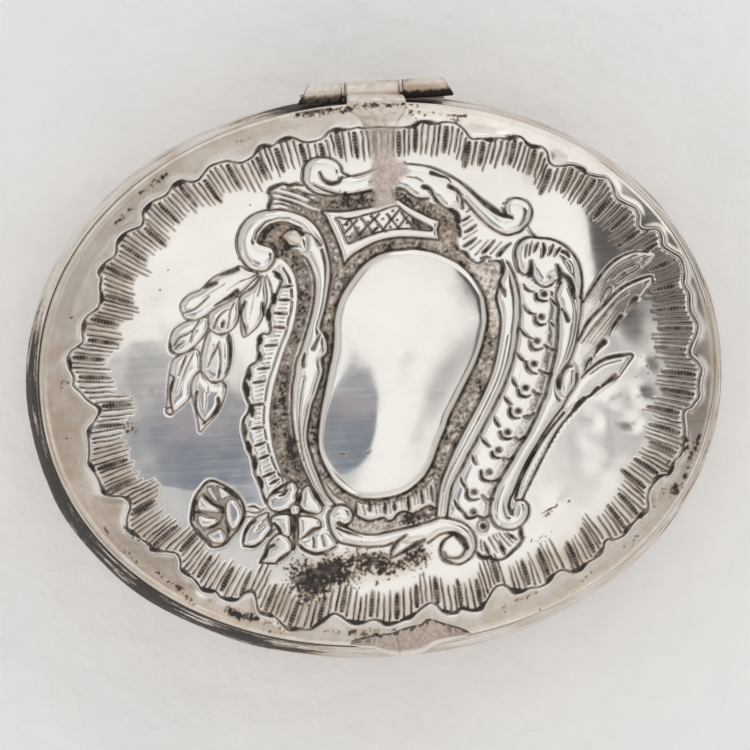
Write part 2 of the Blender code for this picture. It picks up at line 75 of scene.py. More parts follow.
def make_camera():
    """The photo's camera, found from the roll and size of the lid's seam in the picture."""
    back = Vector((-math.sin(math.radians(LEAN_LEFT)), -math.sin(math.radians(LEAN_FRONT)), 1)).normalized()
    right = Vector((math.cos(SEAM_ROLL), -math.sin(SEAM_ROLL), 0))
    right = (right - back * right.dot(back)).normalized()
    up = back.cross(right)
    shift_right = (SEAM_CENTRE[0] - PICTURE_SIZE / 2) / PIXELS_PER_METRE
    shift_up = (PICTURE_SIZE / 2 - SEAM_CENTRE[1]) / PIXELS_PER_METRE
    place = Vector((0, 0, LID_EDGE_Z)) - right * shift_right - up * shift_up + back * CAMERA_DISTANCE
    data = bpy.data.cameras.new("camera")
    data.sensor_width = SENSOR
    data.lens = CAMERA_DISTANCE * PIXELS_PER_METRE * SENSOR / PICTURE_SIZE
    data.clip_start = 0.01
    data.clip_end = 20
    camera = bpy.data.objects.new("camera", data)
    turn = Matrix((right, up, back)).transposed().to_4x4()
    camera.matrix_world = Matrix.Translation(place) @ turn
    bpy.context.scene.collection.objects.link(camera)
    bpy.context.scene.camera = camera
    return place, right, up, back


CAMERA_PLACE, CAMERA_RIGHT, CAMERA_UP, CAMERA_BACK = [np.array(v) for v in make_camera()]
FOCAL = CAMERA_DISTANCE * PIXELS_PER_METRE


def pixel_of(points):
    """Picture coordinates of points in metres."""
    rel = points - CAMERA_PLACE
    depth = -(rel @ CAMERA_BACK)
    across = PICTURE_SIZE / 2 + rel @ CAMERA_RIGHT / depth * FOCAL
    down = PICTURE_SIZE / 2 - rel @ CAMERA_UP / depth * FOCAL
    return np.stack([across, down], -1)


def oval_share(x, y):
    """How far out a place is, with 1 at the lid's edge."""
    along = np.abs(2 * x / LID_LENGTH) ** OVAL_EXPONENT
    across = np.abs(2 * y / LID_WIDTH) ** OVAL_EXPONENT
    return (along + across) ** (1 / OVAL_EXPONENT)


def dome(x, y):
    """Height of the plain lid."""
    share = oval_share(x, y)
    return LID_EDGE_Z + DOME_RISE * np.clip(1 - share ** 2, 0, 1) ** DOME_EXPONENT


def lid_place(pixels):
    """Points on the plain dome that show at these picture coordinates."""
    pixels = np.asarray(pixels, float).reshape(-1, 2)
    ray = (-CAMERA_BACK[None] + (pixels[:, :1] - PICTURE_SIZE / 2) / FOCAL * CAMERA_RIGHT
           + (PICTURE_SIZE / 2 - pixels[:, 1:]) / FOCAL * CAMERA_UP)
    height = np.full(len(pixels), LID_EDGE_Z)
    for _ in range(4):
        reach = (height - CAMERA_PLACE[2]) / ray[:, 2]
        places = CAMERA_PLACE + ray * reach[:, None]
        height = dome(places[:, 0], places[:, 1])
    places[:, 2] = height
    return places


def oval_pixel(turn_degrees, share):
    """Picture coordinates at a turn round the lid's oval and a share of the way out."""
    turn = np.radians(turn_degrees)
    power = 2 / OVAL_EXPONENT
    along = SEAM_HALF[0] * share * np.sign(np.cos(turn)) * np.abs(np.cos(turn)) ** power
    across = SEAM_HALF[1] * share * np.sign(np.sin(turn)) * np.abs(np.sin(turn)) ** power
    x = SEAM_CENTRE[0] + along * math.cos(SEAM_ROLL) - across * math.sin(SEAM_ROLL)
    y = SEAM_CENTRE[1] - along * math.sin(SEAM_ROLL) - across * math.cos(SEAM_ROLL)
    return np.stack([x, y], -1)


# The relief is drawn on a fine sheet in picture coordinates, then laid on the dome

FINE = 2                                   # samples to a pixel
SHEET_LEFT = 28
SHEET_TOP = 88
SHEET_WIDE = 704
SHEET_TALL = 576
GX = SHEET_LEFT + (np.arange(SHEET_WIDE * FINE) + 0.5) / FINE
GY = SHEET_TOP + (np.arange(SHEET_TALL * FINE) + 0.5) / FINE
HEIGHT = np.zeros((len(GY), len(GX)))      # millimetres above the dome
INK = np.zeros_like(HEIGHT)                # black oxide, with painted shade and painted dark reflection in places; 0 to 1, as are the next three
GRAIN = np.zeros_like(HEIGHT)              # punched ground
WARM = np.zeros_like(HEIGHT)               # brown tarnish
SOLDER = np.zeros_like(HEIGHT)             # dull pinkish solder
GROUND_EDGE = 3.0                          # pixels over which a punched ground sinks


def smoothstep(low, high, value):
    """Rises smoothly from 0 to 1 between two values."""
    share = np.clip((value - low) / (high - low), 0, 1)
    return share * share * (3 - 2 * share)


def blur(field, radius):
    """Three box blurs, near enough to a Gaussian one."""
    size = max(1, int(round(radius * FINE)))
    for axis in (0, 1):
        for _ in range(3):
            pad = [(0, 0), (0, 0)]
            pad[axis] = (size + 1, size)
            total = np.cumsum(np.pad(field, pad, mode="edge"), axis)
            count = field.shape[axis]
            high = np.take(total, range(2 * size + 1, 2 * size + 1 + count), axis)
            low = np.take(total, range(0, count), axis)
            field = (high - low) / (2 * size + 1)
    return field


def noise(radius):
    """A random field with a spread of 1 and lumps of that many pixels."""
    field = blur(SEED.standard_normal(HEIGHT.shape), radius)
    return field / field.std()


def window(low, high):
    """The samples between two corners."""
    i0, i1 = np.clip([(low[0] - SHEET_LEFT) * FINE, (high[0] - SHEET_LEFT) * FINE + 2], 0, len(GX)).astype(int)
    j0, j1 = np.clip([(low[1] - SHEET_TOP) * FINE, (high[1] - SHEET_TOP) * FINE + 2], 0, len(GY)).astype(int)
    return slice(j0, j1), slice(i0, i1)


def curve(points, closed=False, step=1.2):
    """A smooth path through the points."""
    p = np.array(points, float)
    if closed:
        p = np.vstack([p[-1], p, p[0], p[1]])
    else:
        p = np.vstack([2 * p[0] - p[1], p, 2 * p[-1] - p[-2]])
    out = []
    for a, b, c, d in zip(p, p[1:], p[2:], p[3:]):
        count = max(1, int(np.hypot(*(c - b)) / step))
        t = np.arange(count)[:, None] / count
        cubic = (3 * b - a - 3 * c + d) * t ** 3
        out.append((2 * b + (c - a) * t + (2 * a - 5 * b + 4 * c - d) * t ** 2 + cubic) / 2)
    if not closed:
        out.append(p[-2:-1])
    return np.vstack(out)


def between(field, x, y):
    """Reads a grid between its samples."""
    i, j = x.astype(int), y.astype(int)
    fx, fy = x - i, y - j
    return ((field[j, i] * (1 - fx) + field[j, i + 1] * fx) * (1 - fy)
            + (field[j + 1, i] * (1 - fx) + field[j + 1, i + 1] * fx) * fy)


def resample(points, count):
    """That many places, evenly spread along a smooth path."""
    path = curve(points)
    steps = np.concatenate([[0], np.cumsum(np.hypot(*np.diff(path, axis=0).T))])
    spots = np.linspace(0, steps[-1], count)
    return np.stack([np.interp(spots, steps, path[:, 0]), np.interp(spots, steps, path[:, 1])], -1)


def near(path, reach, closed=False):
    """A window round the path, the distance from it in pixels, and the share along it."""
    box = window(path.min(0) - reach, path.max(0) + reach)
    gx, gy = GX[box[1]], GY[box[0]]
    far = np.full((len(gy), len(gx)), float(reach))
    along = np.zeros_like(far)
    ends = np.vstack([path, path[:1]]) if closed else path
    steps = np.hypot(*np.diff(ends, axis=0).T)
    total = max(steps.sum(), 1e-6)
    gone = 0.0
    for (ax, ay), (bx, by), length in zip(ends, ends[1:], steps):
        if length < 1e-6:
            continue
        i0, i1 = np.searchsorted(gx, [min(ax, bx) - reach, max(ax, bx) + reach])
        j0, j1 = np.searchsorted(gy, [min(ay, by) - reach, max(ay, by) + reach])
        x, y = gx[None, i0:i1] - ax, gy[j0:j1, None] - ay
        t = np.clip((x * (bx - ax) + y * (by - ay)) / length ** 2, 0, 1)
        d = np.hypot(x - t * (bx - ax), y - t * (by - ay))
        part = far[j0:j1, i0:i1]
        closer = d < part
        part[closer] = d[closer]
        along[j0:j1, i0:i1][closer] = ((gone + t * length) / total)[closer]
        gone += length
    return box, far, along


def inside(path, box):
    """Which samples of a window are inside a closed path."""
    gx, gy = GX[box[1]], GY[box[0]]
    mask = np.zeros((len(gy), len(gx)), bool)
    for (ax, ay), (bx, by) in zip(path, np.roll(path, -1, 0)):
        j0, j1 = np.searchsorted(gy, sorted((ay, by)))
        if j0 < j1:
            mask[j0:j1] ^= gx[None] < (ax + (gy[j0:j1] - ay) * (bx - ax) / (by - ay))[:, None]
    return mask


def area(points, reach, smooth=True):
    """A window round an outline, the distance from the outline, and what is inside it."""
    path = curve(points, True) if smooth else np.array(points, float)
    box, far, _ = near(path, reach, True)
    return box, far, inside(path, box)


def wipe(box, body, *fields):
    """Sets fields to nothing inside an outline."""
    for field in fields:
        field[box] = np.where(body, 0, field[box])


def shoulder_of(share):
    """A quarter circle's height at a share of its width."""
    return np.sqrt(np.clip(1 - (1 - share) ** 2, 0, 1))


def pillow(points, height, shoulder, level=None, smooth=True):
    """Raises what is inside an outline, with a round shoulder that many pixels wide."""
    box, far, body = area(points, shoulder, smooth)
    rise = height * shoulder_of(far / max(far[body].max(), 1e-6))
    base = HEIGHT[box] if level is None else level
    HEIGHT[box] = np.where(body, base + rise, HEIGHT[box])
    INK[box] = np.where(body, INK[box] * 0.1, INK[box])
    wipe(box, body, GRAIN)


def ribbon(left, right):
    """A closed outline from two edges drawn the same way."""
    return list(left) + list(reversed(right))


def line(points, widths, depth, ink=0.9, closed=False, straight=False, ticks=0.0):
    """Carves a stroke. The widths are half widths in pixels, spread evenly along it."""
    path = np.array(points, float) if straight else curve(points, closed)
    widths = np.atleast_1d(widths)
    reach = widths.max() + 1
    box, far, along = near(path, reach, closed)
    half = np.interp(along, np.linspace(0, 1, len(widths)), widths) if len(widths) > 1 else widths[0]
    core = np.clip(1 - (far / np.maximum(half, 0.3)) ** 2, 0, 1)
    tone = smoothstep(1.15, 0.55, far / np.maximum(half, 0.3)) * ink
    if ticks:
        length = np.hypot(*np.diff(path, axis=0).T).sum()
        wave = 0.5 + 0.5 * np.cos(along * length / ticks * 2 * math.pi)
        tone = tone * (0.62 + 0.38 * wave)
        core = core * (0.75 + 0.25 * wave)
    HEIGHT[box] -= depth * core
    INK[box] = np.maximum(INK[box], tone)


def strokes(rows, depth=0.1, ink=0.88, girth=0.88):
    """Several strokes, each as its half widths and then its points."""
    for widths, *points in rows:
        line(points, [width * girth for width in widths], depth, ink)


def bar(x0, y0, x1, y1, widths, depth, ink):
    """A short straight mark with a width of its own in the middle."""
    line([(x0, y0), ((x0 + x1) / 2, (y0 + y1) / 2), (x1, y1)], widths, depth, ink)


def dot(x, y, radius, depth, ink=0.9):
    """A small round hole."""
    line([(x, y), (x + 0.05, y)], radius, depth, ink, straight=True)


def ground(points, depth, ink, grain=1.0, warm=0.0):
    """Sinks and roughens the ground inside an outline."""
    box, far, body = area(points, GROUND_EDGE)
    share = np.where(body, far / GROUND_EDGE, 0)
    HEIGHT[box] = HEIGHT[box] * (1 - share) + (-depth) * share
    INK[box] = np.maximum(INK[box], ink * body)
    GRAIN[box] = np.maximum(GRAIN[box], grain * share)
    WARM[box] = np.maximum(WARM[box], warm * share)


def soft_patch(points, soft):
    """A window round an outline, and how far in each sample is over a soft edge, 0 to 1."""
    box, far, body = area(points, soft)
    return box, smoothstep(0, 1, 0.5 + 0.5 * np.where(body, far, -far) / soft)


def stain(points, soft, field, amount):
    """A soft-edged patch of tarnish, oxide or solder."""
    box, share = soft_patch(points, soft)
    field[box] = np.maximum(field[box], amount * share)


def clear(points, soft, field, amount):
    """Wipes a soft-edged patch clean again."""
    box, share = soft_patch(points, soft)
    field[box] *= 1 - amount * share


# Picture coordinates of the ornament: first the shield and the grounds round it
BOSS = [
    (365, 262), (372, 257), (380, 253), (390, 250), (400, 249), (412, 248), (422, 249), (432, 251), (441, 254),
    (450, 258), (459, 263), (467, 270), (474, 278), (480, 287), (485, 297), (487, 308), (488, 320), (486, 332),
    (483, 345), (479, 357), (474, 369), (468, 381), (462, 393), (456, 405), (450, 417), (446, 429), (441, 441),
    (437, 452), (433, 463), (427, 474), (419, 483), (409, 491), (398, 496), (385, 499), (372, 500), (360, 499),
    (350, 495), (340, 488), (332, 480), (326, 470), (321, 460), (318, 450), (317, 440), (318, 425), (320, 410),
    (323, 395), (326, 380), (329, 365), (332, 350), (333, 335), (333, 322), (335, 310), (339, 298), (345, 287),
    (352, 277), (358, 269)]
GROUND = [
    (344, 266), (352, 257), (364, 249), (378, 243), (395, 239), (412, 239), (428, 240), (440, 241), (441, 220),
    (450, 212), (458, 222), (456, 240), (462, 254), (474, 264), (486, 262), (500, 263), (502, 272), (498, 284),
    (496, 298), (499, 312), (500, 325), (498, 342), (495, 358), (491, 373), (485, 388), (478, 403), (470, 418),
    (462, 433), (454, 449), (447, 465), (441, 481), (438, 496), (436, 514), (424, 519), (405, 525), (385, 530),
    (366, 532), (352, 528), (352, 514), (344, 503), (334, 497), (326, 487), (319, 475), (313, 460), (309, 445),
    (308, 430), (310, 415), (313, 402), (318, 388), (322, 372), (325, 358), (326, 340), (321, 330), (325, 312),
    (329, 294), (331, 275), (331, 262), (327, 245), (320, 229), (311, 220), (300, 213), (288, 209), (292, 203),
    (305, 208), (322, 212), (328, 222), (335, 238), (341, 253)]
LEFT_BAND = [
    (280, 258), (285, 262), (290, 268), (294, 276), (296, 285), (297, 296), (296, 308), (294, 320), (291, 332),
    (287, 342), (283, 352), (280, 362), (277, 372), (274, 382), (272, 392), (270, 405), (269, 418), (270, 430),
    (272, 445), (275, 457), (279, 468), (283, 477), (290, 484), (300, 490), (312, 492), (310, 483), (304, 473),
    (299, 461), (295, 448), (292, 434), (290, 421), (289, 409), (289, 399), (290, 385), (292, 375), (293, 364),
    (296, 354), (300, 343), (304, 331), (307, 320), (310, 308), (312, 296), (312, 285), (311, 276), (308, 267),
    (304, 260), (299, 250), (292, 243), (282, 240), (272, 241), (276, 249)]
# The rails, the scrolls and the frame, mostly as the two edges of a raised ribbon
RAIL_LEFT_IN = [
    (302, 256), (306, 259), (310, 266), (313, 275), (314.5, 285), (314, 297), (312, 310), (309, 322), (306, 332),
    (303, 342), (300, 352), (297, 358), (295, 366), (294, 376), (292, 386), (291.5, 400), (291, 410), (292, 422),
    (294, 435), (297, 450), (301, 463), (306, 475), (312, 487), (318, 497), (324, 506)]
RAIL_LEFT_OUT = [
    (329, 254), (331, 265), (331, 278), (329, 292), (327, 304), (324, 316), (321, 328), (326, 337), (328, 347),
    (327, 354), (323, 362), (324, 371), (320, 385), (317, 395), (313, 405), (311, 415), (309, 425), (308, 435),
    (309, 445), (312, 455), (315, 465), (319, 475), (323, 485), (328, 495), (335, 504)]
VOLUTE_LEFT = [
    (241, 259), (238, 250), (237, 240), (240, 229), (246, 220), (254, 214), (262, 211), (270, 210), (280, 209.5),
    (290, 211), (300, 214), (308, 218), (314, 223), (319, 229), (323, 236), (326, 244), (329, 254)]
VOLUTE_BALL = [(243, 262), (247, 267), (253, 270.5), (260, 272), (267, 270), (272, 265), (275, 259), (275.5, 253),
               (272, 247.5), (265, 245)]
VOLUTE_HOOK = [(281, 237), (284, 233), (289, 230), (296, 229), (303, 232), (308, 240), (308, 250), (303, 252),
               (296, 250), (290, 247), (285, 243), (281, 240)]
VOLUTE_LEFT_IN = [
    (258, 242), (261, 234), (266, 228), (272, 224), (280, 222), (288, 223), (295, 226), (302, 230), (303, 238),
    (300, 246), (302, 256)]
SCROLL_TOP = [
    (343, 177), (352, 176), (362, 174), (370, 171), (380, 168), (390, 165), (400, 164), (410, 164), (420, 165),
    (430, 167), (440, 171), (450, 176), (460, 182), (470, 189), (480, 198), (490, 205), (498, 211), (505, 216)]
SCROLL_UNDER = [
    (303, 174), (303, 181), (307, 187), (313, 192), (320, 195), (330, 196), (340, 196), (352, 195), (362, 193),
    (372, 190), (384, 187), (396, 188), (404, 190), (410, 195), (418, 199), (428, 199), (436, 200), (444, 208),
    (453, 209), (461, 205), (464, 200), (470, 207), (476, 214), (483, 221), (490, 227), (498, 232), (506, 235),
    (514, 234), (521, 231), (527, 225), (531, 218), (532, 210), (529, 204), (524, 200), (517, 198), (510, 199),
    (505, 204)]
VOLUTE_TOP = [(303, 174), (304, 167), (308, 161), (314, 158), (321, 157), (329, 158), (336, 161), (341, 167),
              (343, 173), (343, 178), (339, 182), (333, 184), (326, 183), (321, 179), (319, 171)]
FRAME_OUT = [
    (322, 211), (338, 211), (350, 210), (362, 208), (374, 206), (386, 202), (398, 199), (404, 203), (412, 208),
    (420, 212), (430, 217), (440, 221), (438, 230), (439, 240), (425, 239), (410, 238), (398, 238), (385, 240),
    (375, 243), (365, 248), (355, 254), (347, 261), (344, 265), (340, 251), (335, 238), (330, 227), (326, 218)]
FRAME_IN = [
    (336, 218), (345, 219), (355, 218), (365, 215), (377, 212), (388, 208), (397, 206), (402, 210), (410, 216),
    (420, 222), (431, 228), (431, 231), (420, 230), (410, 229), (400, 229), (390, 230), (380, 232), (370, 235),
    (360, 239), (350, 243), (348, 244), (344, 235), (340, 226)]
INNER_RAIL_LEFT = [
    (502, 260), (504, 266), (503, 273), (500, 280), (498, 288), (496, 298), (499, 312), (500, 325), (498, 342),
    (495, 358), (491, 373), (485, 388), (478, 403), (470, 418), (462, 433), (454, 449), (447, 465), (441, 481),
    (438, 496), (436, 516)]
INNER_RAIL_RIGHT = [
    (507, 262), (511, 268), (515, 277), (518, 288), (520, 300), (520, 315), (518, 330), (516, 345), (513, 360),
    (508, 375), (503, 388), (497, 400), (491, 412), (484, 425), (478, 437), (470, 451), (462, 467), (456, 478),
    (451, 490), (447, 516)]
OUTER_RAIL_LEFT = [
    (561, 282), (557, 290), (556, 298), (559, 308), (558, 320), (558, 335), (557, 345), (555, 358), (552, 370),
    (549, 383), (546, 395), (542, 403), (538, 413), (533, 424), (528, 434), (522, 443), (516, 453), (509, 465),
    (503, 475), (498, 483), (494, 492), (491, 502), (490, 512), (492, 520), (497, 526), (503, 529), (511, 530),
    (518, 528), (524, 523), (528, 516), (529, 508), (527, 503), (523, 500), (516, 500)]
OUTER_RAIL_RIGHT = [
    (573, 282), (582, 292), (581, 312), (579, 325), (577, 338), (574, 350), (569, 362), (563, 371), (558, 381),
    (559, 389), (563, 396), (567, 399), (562, 408), (556, 416), (549, 426), (543, 435), (537, 445), (531, 455),
    (525, 466), (520, 477), (516, 487), (513, 494), (510, 500), (509, 507), (512, 514)]
RAIL_LEAF = [(563, 371), (567, 367), (572, 366), (576, 368), (577, 374), (576, 384), (572, 391), (567, 397),
             (562, 396), (559, 389), (559, 380)]
CREST = [
    (519, 272), (516, 262), (515, 252), (518, 244), (523, 239), (530, 237), (540, 238), (550, 239), (558, 242),
    (566, 247), (573, 254), (578, 262), (581, 272), (582, 285), (580, 298), (572, 290), (562, 282), (556, 280),
    (553, 284), (546, 287), (539, 285), (534, 279), (530, 273), (525, 275)]
BOTTOM_SCROLL_UPPER = [
    (338, 523), (348, 528), (356, 532), (366, 534), (376, 534), (386, 532), (395, 530), (404, 528), (413, 526),
    (422, 523), (430, 521), (438, 518), (446, 518), (455, 520), (463, 523), (470, 528), (474, 534), (476, 541),
    (476, 548), (473, 555), (468, 560), (461, 564), (454, 564), (447, 562), (442, 557), (440, 550)]
BOTTOM_BALL = [
    (341, 525.5), (347, 525), (352, 521), (353.5, 515), (351, 509), (346, 505.5), (340, 504.5), (334.5, 506)]
BOTTOM_SCROLL_LOWER = [
    (330.5, 510.5), (328, 515), (329, 525), (332, 533), (336, 539), (341, 543), (350, 545), (362, 547), (375, 547),
    (385, 546), (393, 543), (400, 541), (410, 543), (420, 542), (428, 543), (434, 539), (440, 535), (447, 533),
    (454, 533), (461, 537), (465, 543), (465, 550), (461, 556), (455, 558), (448, 557), (444, 552)]
# The leaf spray, the rosette at the lower left and the flower
LEAVES = [
    [(247, 270), (240, 266), (232, 269), (222, 273), (214, 277), (207, 283), (200, 290), (190, 294), (183, 300),
     (180, 306), (182, 313), (185, 318), (195, 320), (205, 316), (212, 311), (222, 305), (232, 300), (239, 294),
     (250, 284), (258, 274)],
    [(211, 311), (208, 320), (209, 328), (214, 333), (222, 335), (230, 331), (236, 325), (239, 315), (239, 305),
     (238, 297), (226, 303)],
    [(240, 297), (246, 292), (253, 288), (259, 280), (263, 276), (266, 287), (267, 300), (264, 312), (262, 319),
     (258, 326), (252, 332), (244, 337), (241, 328), (241, 315), (240, 305)],
    [(188, 321), (180, 325), (173, 331), (170, 340), (169, 348), (172, 353), (180, 354), (188, 351), (196, 345),
     (203, 337), (207, 331), (209, 322), (205, 317), (196, 320)],
    [(210, 331), (205, 340), (202, 352), (200, 365), (201, 373), (206, 379), (214, 382), (222, 380), (228, 373),
     (231, 362), (232, 350), (231, 338), (227, 333), (218, 334)],
    [(180, 355), (173, 360), (170, 370), (168, 385), (167, 400), (166, 409), (170, 415), (176, 411), (184, 404),
     (190, 397), (191, 385), (195, 376), (201, 369), (200, 355), (196, 349), (188, 352)],
    [(201, 371), (194, 377), (191, 388), (193, 400), (196, 412), (198, 422), (200, 432), (206, 426), (213, 419),
     (219, 411), (223, 402), (226, 392), (226, 385), (222, 381), (212, 383)]]
ROSETTE = [
    (209, 481), (221, 484), (234, 492), (241, 500), (244.5, 510), (244, 518), (238.6, 528.6), (232, 536),
    (223.4, 545), (212.5, 547), (206, 541.6), (197.4, 532), (191.4, 523), (191.4, 513.4), (194, 500.4),
    (199.5, 490.6)]
ROSETTE_LOBES = [
    [(206.6, 488.4), (211, 487), (214.6, 493), (218.4, 500), (215.4, 501.4), (210.4, 496)],
    [(200.4, 495.6), (205, 499), (211, 504), (219, 509), (219.4, 512.4), (209, 512), (198.4, 509.4), (197.6, 501)],
    [(198.6, 515), (206, 517.4), (215, 518.4), (218, 521), (215.6, 525.4), (208, 528), (201, 526.4), (198, 521)],
    [(225.7, 507.5), (227.6, 500.6), (233.7, 499.6), (239.8, 505.8), (242.4, 513.3), (241.2, 520.8), (236.4, 527.5),
     (232, 529.4), (229, 525), (226.2, 518.3)],
    [(207.4, 534.6), (213, 531.6), (219, 528.6), (223, 531), (226, 537), (223.4, 542.6), (216, 543.4),
     (209.4, 539.6)], [(218, 486.6), (226, 491), (233, 495.6), (226, 497.4), (221.4, 499.6), (219, 493)]]
PETALS = [
    [(288.7, 509.4), (280.3, 512), (272, 510.5), (267.4, 504.2), (268.4, 497.5), (275.3, 493), (283.5, 491.2),
     (286.6, 485), (291.2, 481.6), (296.4, 484.6), (298, 490), (296.2, 495), (296.4, 501), (293, 505)],
    [(299, 505.4), (299.8, 501.7), (301, 497.5), (301.4, 491.7), (305.2, 486.2), (309.8, 486), (312.6, 491.2),
     (316, 498), (321, 504), (322.6, 510), (318, 513.8), (310.3, 513), (303.7, 510.4)],
    [(297.8, 517), (302, 515.8), (312, 517), (319, 519.8), (321.4, 526.5), (315.8, 531.4), (309, 535.6),
     (302.8, 539.4), (298, 538.6), (298.2, 531.7), (298, 525)],
    [(290.4, 515.4), (283.7, 514), (275.3, 515), (270.8, 519), (272, 523.6), (277, 525.6), (279.8, 529),
     (282.4, 534.8), (287.8, 537.2), (290.6, 535), (291.2, 528.3), (291, 521)],
    [(244, 545.4), (243, 539.4), (245.4, 530.7), (250, 523), (256.5, 517.2), (264, 513.4), (268.4, 513), (268.6, 520),
     (272, 527.5), (267, 535), (261.3, 542.4), (252, 546.2)],
    [(261, 562), (264, 554.6), (267, 546), (272, 538.5), (279, 533.6), (287.6, 537.5), (292, 544), (290.4, 552),
     (283, 557.4), (276, 563)],
    [(297, 541.6), (301.4, 545), (306, 550.6), (316.7, 554), (328.6, 550.2), (336, 544), (330, 534), (322, 529.5),
     (316, 531.6), (308, 536.6)]]
# The scalloped line: turns round the oval in degrees, and shares of the way out
BORDER = [
    (0, .916), (1.7, .923), (3.6, .939), (5.6, .949), (7.2, .944), (9.2, .937), (11.1, .942), (12.8, .947),
    (15, .942), (16.7, .953), (18.3, .961), (20.6, .965), (22.2, .953), (23.6, .942), (24.7, .938), (26.7, .951),
    (28.3, .951), (29.4, .923), (30.6, .914), (31.7, .921), (32.8, .935), (34.7, .942), (36.4, .933),
    (38.3, .925), (39.4, .930), (41.1, .946), (43.3, .955), (45, .94), (46.7, .930), (47.8, .938), (49.4, .935),
    (50.6, .925), (51.7, .909), (53.1, .897), (54.4, .903), (55.8, .927), (57.2, .937), (58.9, .933),
    (59.3, .930), (60.6, .935), (61.7, .944), (63.1, .942), (64.2, .925), (65.6, .918), (67.2, .907),
    (68.9, .899), (70, .893), (70.8, .896), (71.9, .914), (73.3, .931), (74.4, .938), (76.1, .937), (77.5, .929),
    (78.9, .935), (80.6, .931), (81.7, .914), (83.3, .907), (85, .905), (87.5, .908), (90, .907), (91.1, .911),
    (92.2, .907), (93.6, .911), (94.7, .916), (95.8, .907), (96.9, .890), (98.3, .881), (100, .881),
    (101.1, .888), (102.2, .905), (103.3, .916), (104.7, .914), (106.1, .902), (106.7, .900), (107.2, .907),
    (108.3, .914), (109.4, .907), (110.6, .888), (111.9, .881), (113.6, .879), (114.7, .890), (115.8, .905),
    (117.2, .911), (118.9, .914), (120, .909), (121.4, .899), (122.8, .892), (124.2, .899), (125.3, .921),
    (126.9, .925), (128.3, .916), (129.7, .910), (131.1, .914), (132.8, .922), (135, .920), (136.1, .909),
    (137.2, .893), (138.6, .888), (140, .899), (141.7, .911), (143.3, .914), (144.7, .907), (146.1, .895),
    (147.5, .893), (148.9, .902), (150.6, .909), (152.2, .907), (153.3, .890), (155, .883), (156.7, .871),
    (158.6, .863), (160.3, .865), (161.7, .879), (162.8, .888), (164.4, .893), (166.4, .888), (168.3, .881),
    (169.7, .893), (170.8, .911), (172.5, .921), (173.9, .916), (175, .911), (176.7, .899), (178.5, .9),
    (180, .881), (181.1, .869), (182.2, .855), (183.3, .837), (184.4, .832), (185.6, .840), (186.9, .855),
    (188.1, .874), (189.2, .879), (190.8, .881), (192.5, .886), (194.4, .895), (195.8, .904), (197.2, .902),
    (198.9, .897), (200.6, .897), (202.2, .902), (203.6, .905), (204.7, .890), (205.8, .865), (207.2, .855),
    (208.9, .858), (210, .874), (211.4, .895), (212.8, .907), (214.2, .914), (215.6, .907), (217.2, .902),
    (218.9, .899), (220, .909), (221.1, .897), (222.5, .879), (223.9, .867), (225, .868), (226.4, .883),
    (227.5, .902), (229.2, .907), (230.6, .905), (232.2, .914), (233.9, .927), (235.3, .921), (236.1, .911),
    (237.5, .921), (239.2, .923), (240.6, .911), (241.1, .883), (242.2, .867), (243.3, .874), (244.2, .893),
    (245, .914), (246.1, .930), (247.8, .933), (248.9, .930), (249.7, .939), (250.8, .953), (252.2, .967),
    (253.9, .958), (255.6, .953), (256.4, .942), (257.2, .925), (258.1, .902), (259.2, .886), (260.6, .893),
    (261.7, .907), (263.1, .921), (264.4, .918), (265.8, .907), (267.2, .907), (268.6, .927), (270, .921),
    (271.4, .911), (272.5, .907), (273.6, .890), (275, .871), (276.4, .860), (277.5, .867), (278.3, .895),
    (279.4, .911), (280.6, .914), (281.1, .909), (281.7, .902), (282.8, .911), (283.9, .921), (285.3, .921),
    (286.4, .902), (287.8, .881), (289.2, .862), (290.6, .858), (291.7, .869), (292.2, .902), (293.6, .909),
    (295.3, .907), (296.7, .916), (298.1, .918), (299.4, .914), (300.8, .902), (302.2, .899), (303.3, .909),
    (304.4, .933), (305.8, .935), (307.5, .927), (308.9, .930), (310.6, .930), (311.9, .921), (313.1, .907),
    (314.2, .909), (315, .925), (316.7, .933), (318.3, .930), (320, .927), (321.4, .929), (323.3, .937),
    (324.7, .930), (326.1, .914), (327.5, .905), (328.6, .902), (330.6, .905), (332.2, .909), (332.8, .930),
    (334.4, .933), (336.1, .927), (337.8, .937), (340, .935), (341.7, .930), (343.6, .923), (345, .916),
    (346.4, .910), (347.8, .911), (348.6, .927), (350, .938), (351.1, .946), (353.3, .942), (355, .944),
    (356.7, .949), (358.3, .939)]
# Turns of the hatched flutes
FLUTES = [
    1.5, 5.8, 10.5, 15.4, 20.6, 25.2, 29.4, 33.9, 38.6, 43.8, 48.6, 52.1, 57.1, 61.7, 67.2, 70.0, 75.1, 80.8, 83.8,
    88.2, 91.5, 94.6, 97.9, 101.7, 106.5, 110.6, 116.6, 122.2, 126.8, 132.5, 139.0, 144.7, 150.6, 156.7, 163.1,
    168.1, 172.4, 176.8, 183.6, 188.3, 197.8, 203.2, 210.7, 219.3, 224.0, 230.8, 236.4, 240.3, 246.4, 251.9, 256.8,
    260.6, 266.1, 270.5, 274.2, 278.2, 282.5, 286.1, 291.4, 296.5, 301.0, 306.7, 311.3, 319.4, 323.3, 329.2, 333.1,
    338.6, 343.0, 347.4, 352.0, 356.2]
# How far they lean at each turn, in degrees
FLUTE_LEAN = [
    (0, 1.0), (8, 1.2), (18, 0.1), (30, -0.9), (40, -1.4), (50, -2.0), (57, -1.9), (67, -1.2), (75, -0.8),
    (90, -0.2), (98, 0.0), (107, 0.6), (127, 0.7), (139, 1.0), (150, 0.6), (157, 0.0), (168, 0.1), (188, 0.5),
    (198, 0.0), (210, -0.3), (219, -0.4), (231, -1.0), (240, -0.8), (246, -0.3), (252, 0.0), (266, 0.2),
    (274, 0.5), (286, 1.1), (296, 1.7), (306, 2.2), (320, 2.3), (329, 1.9), (338, 1.1), (347, 0.7), (360, 1.0)]
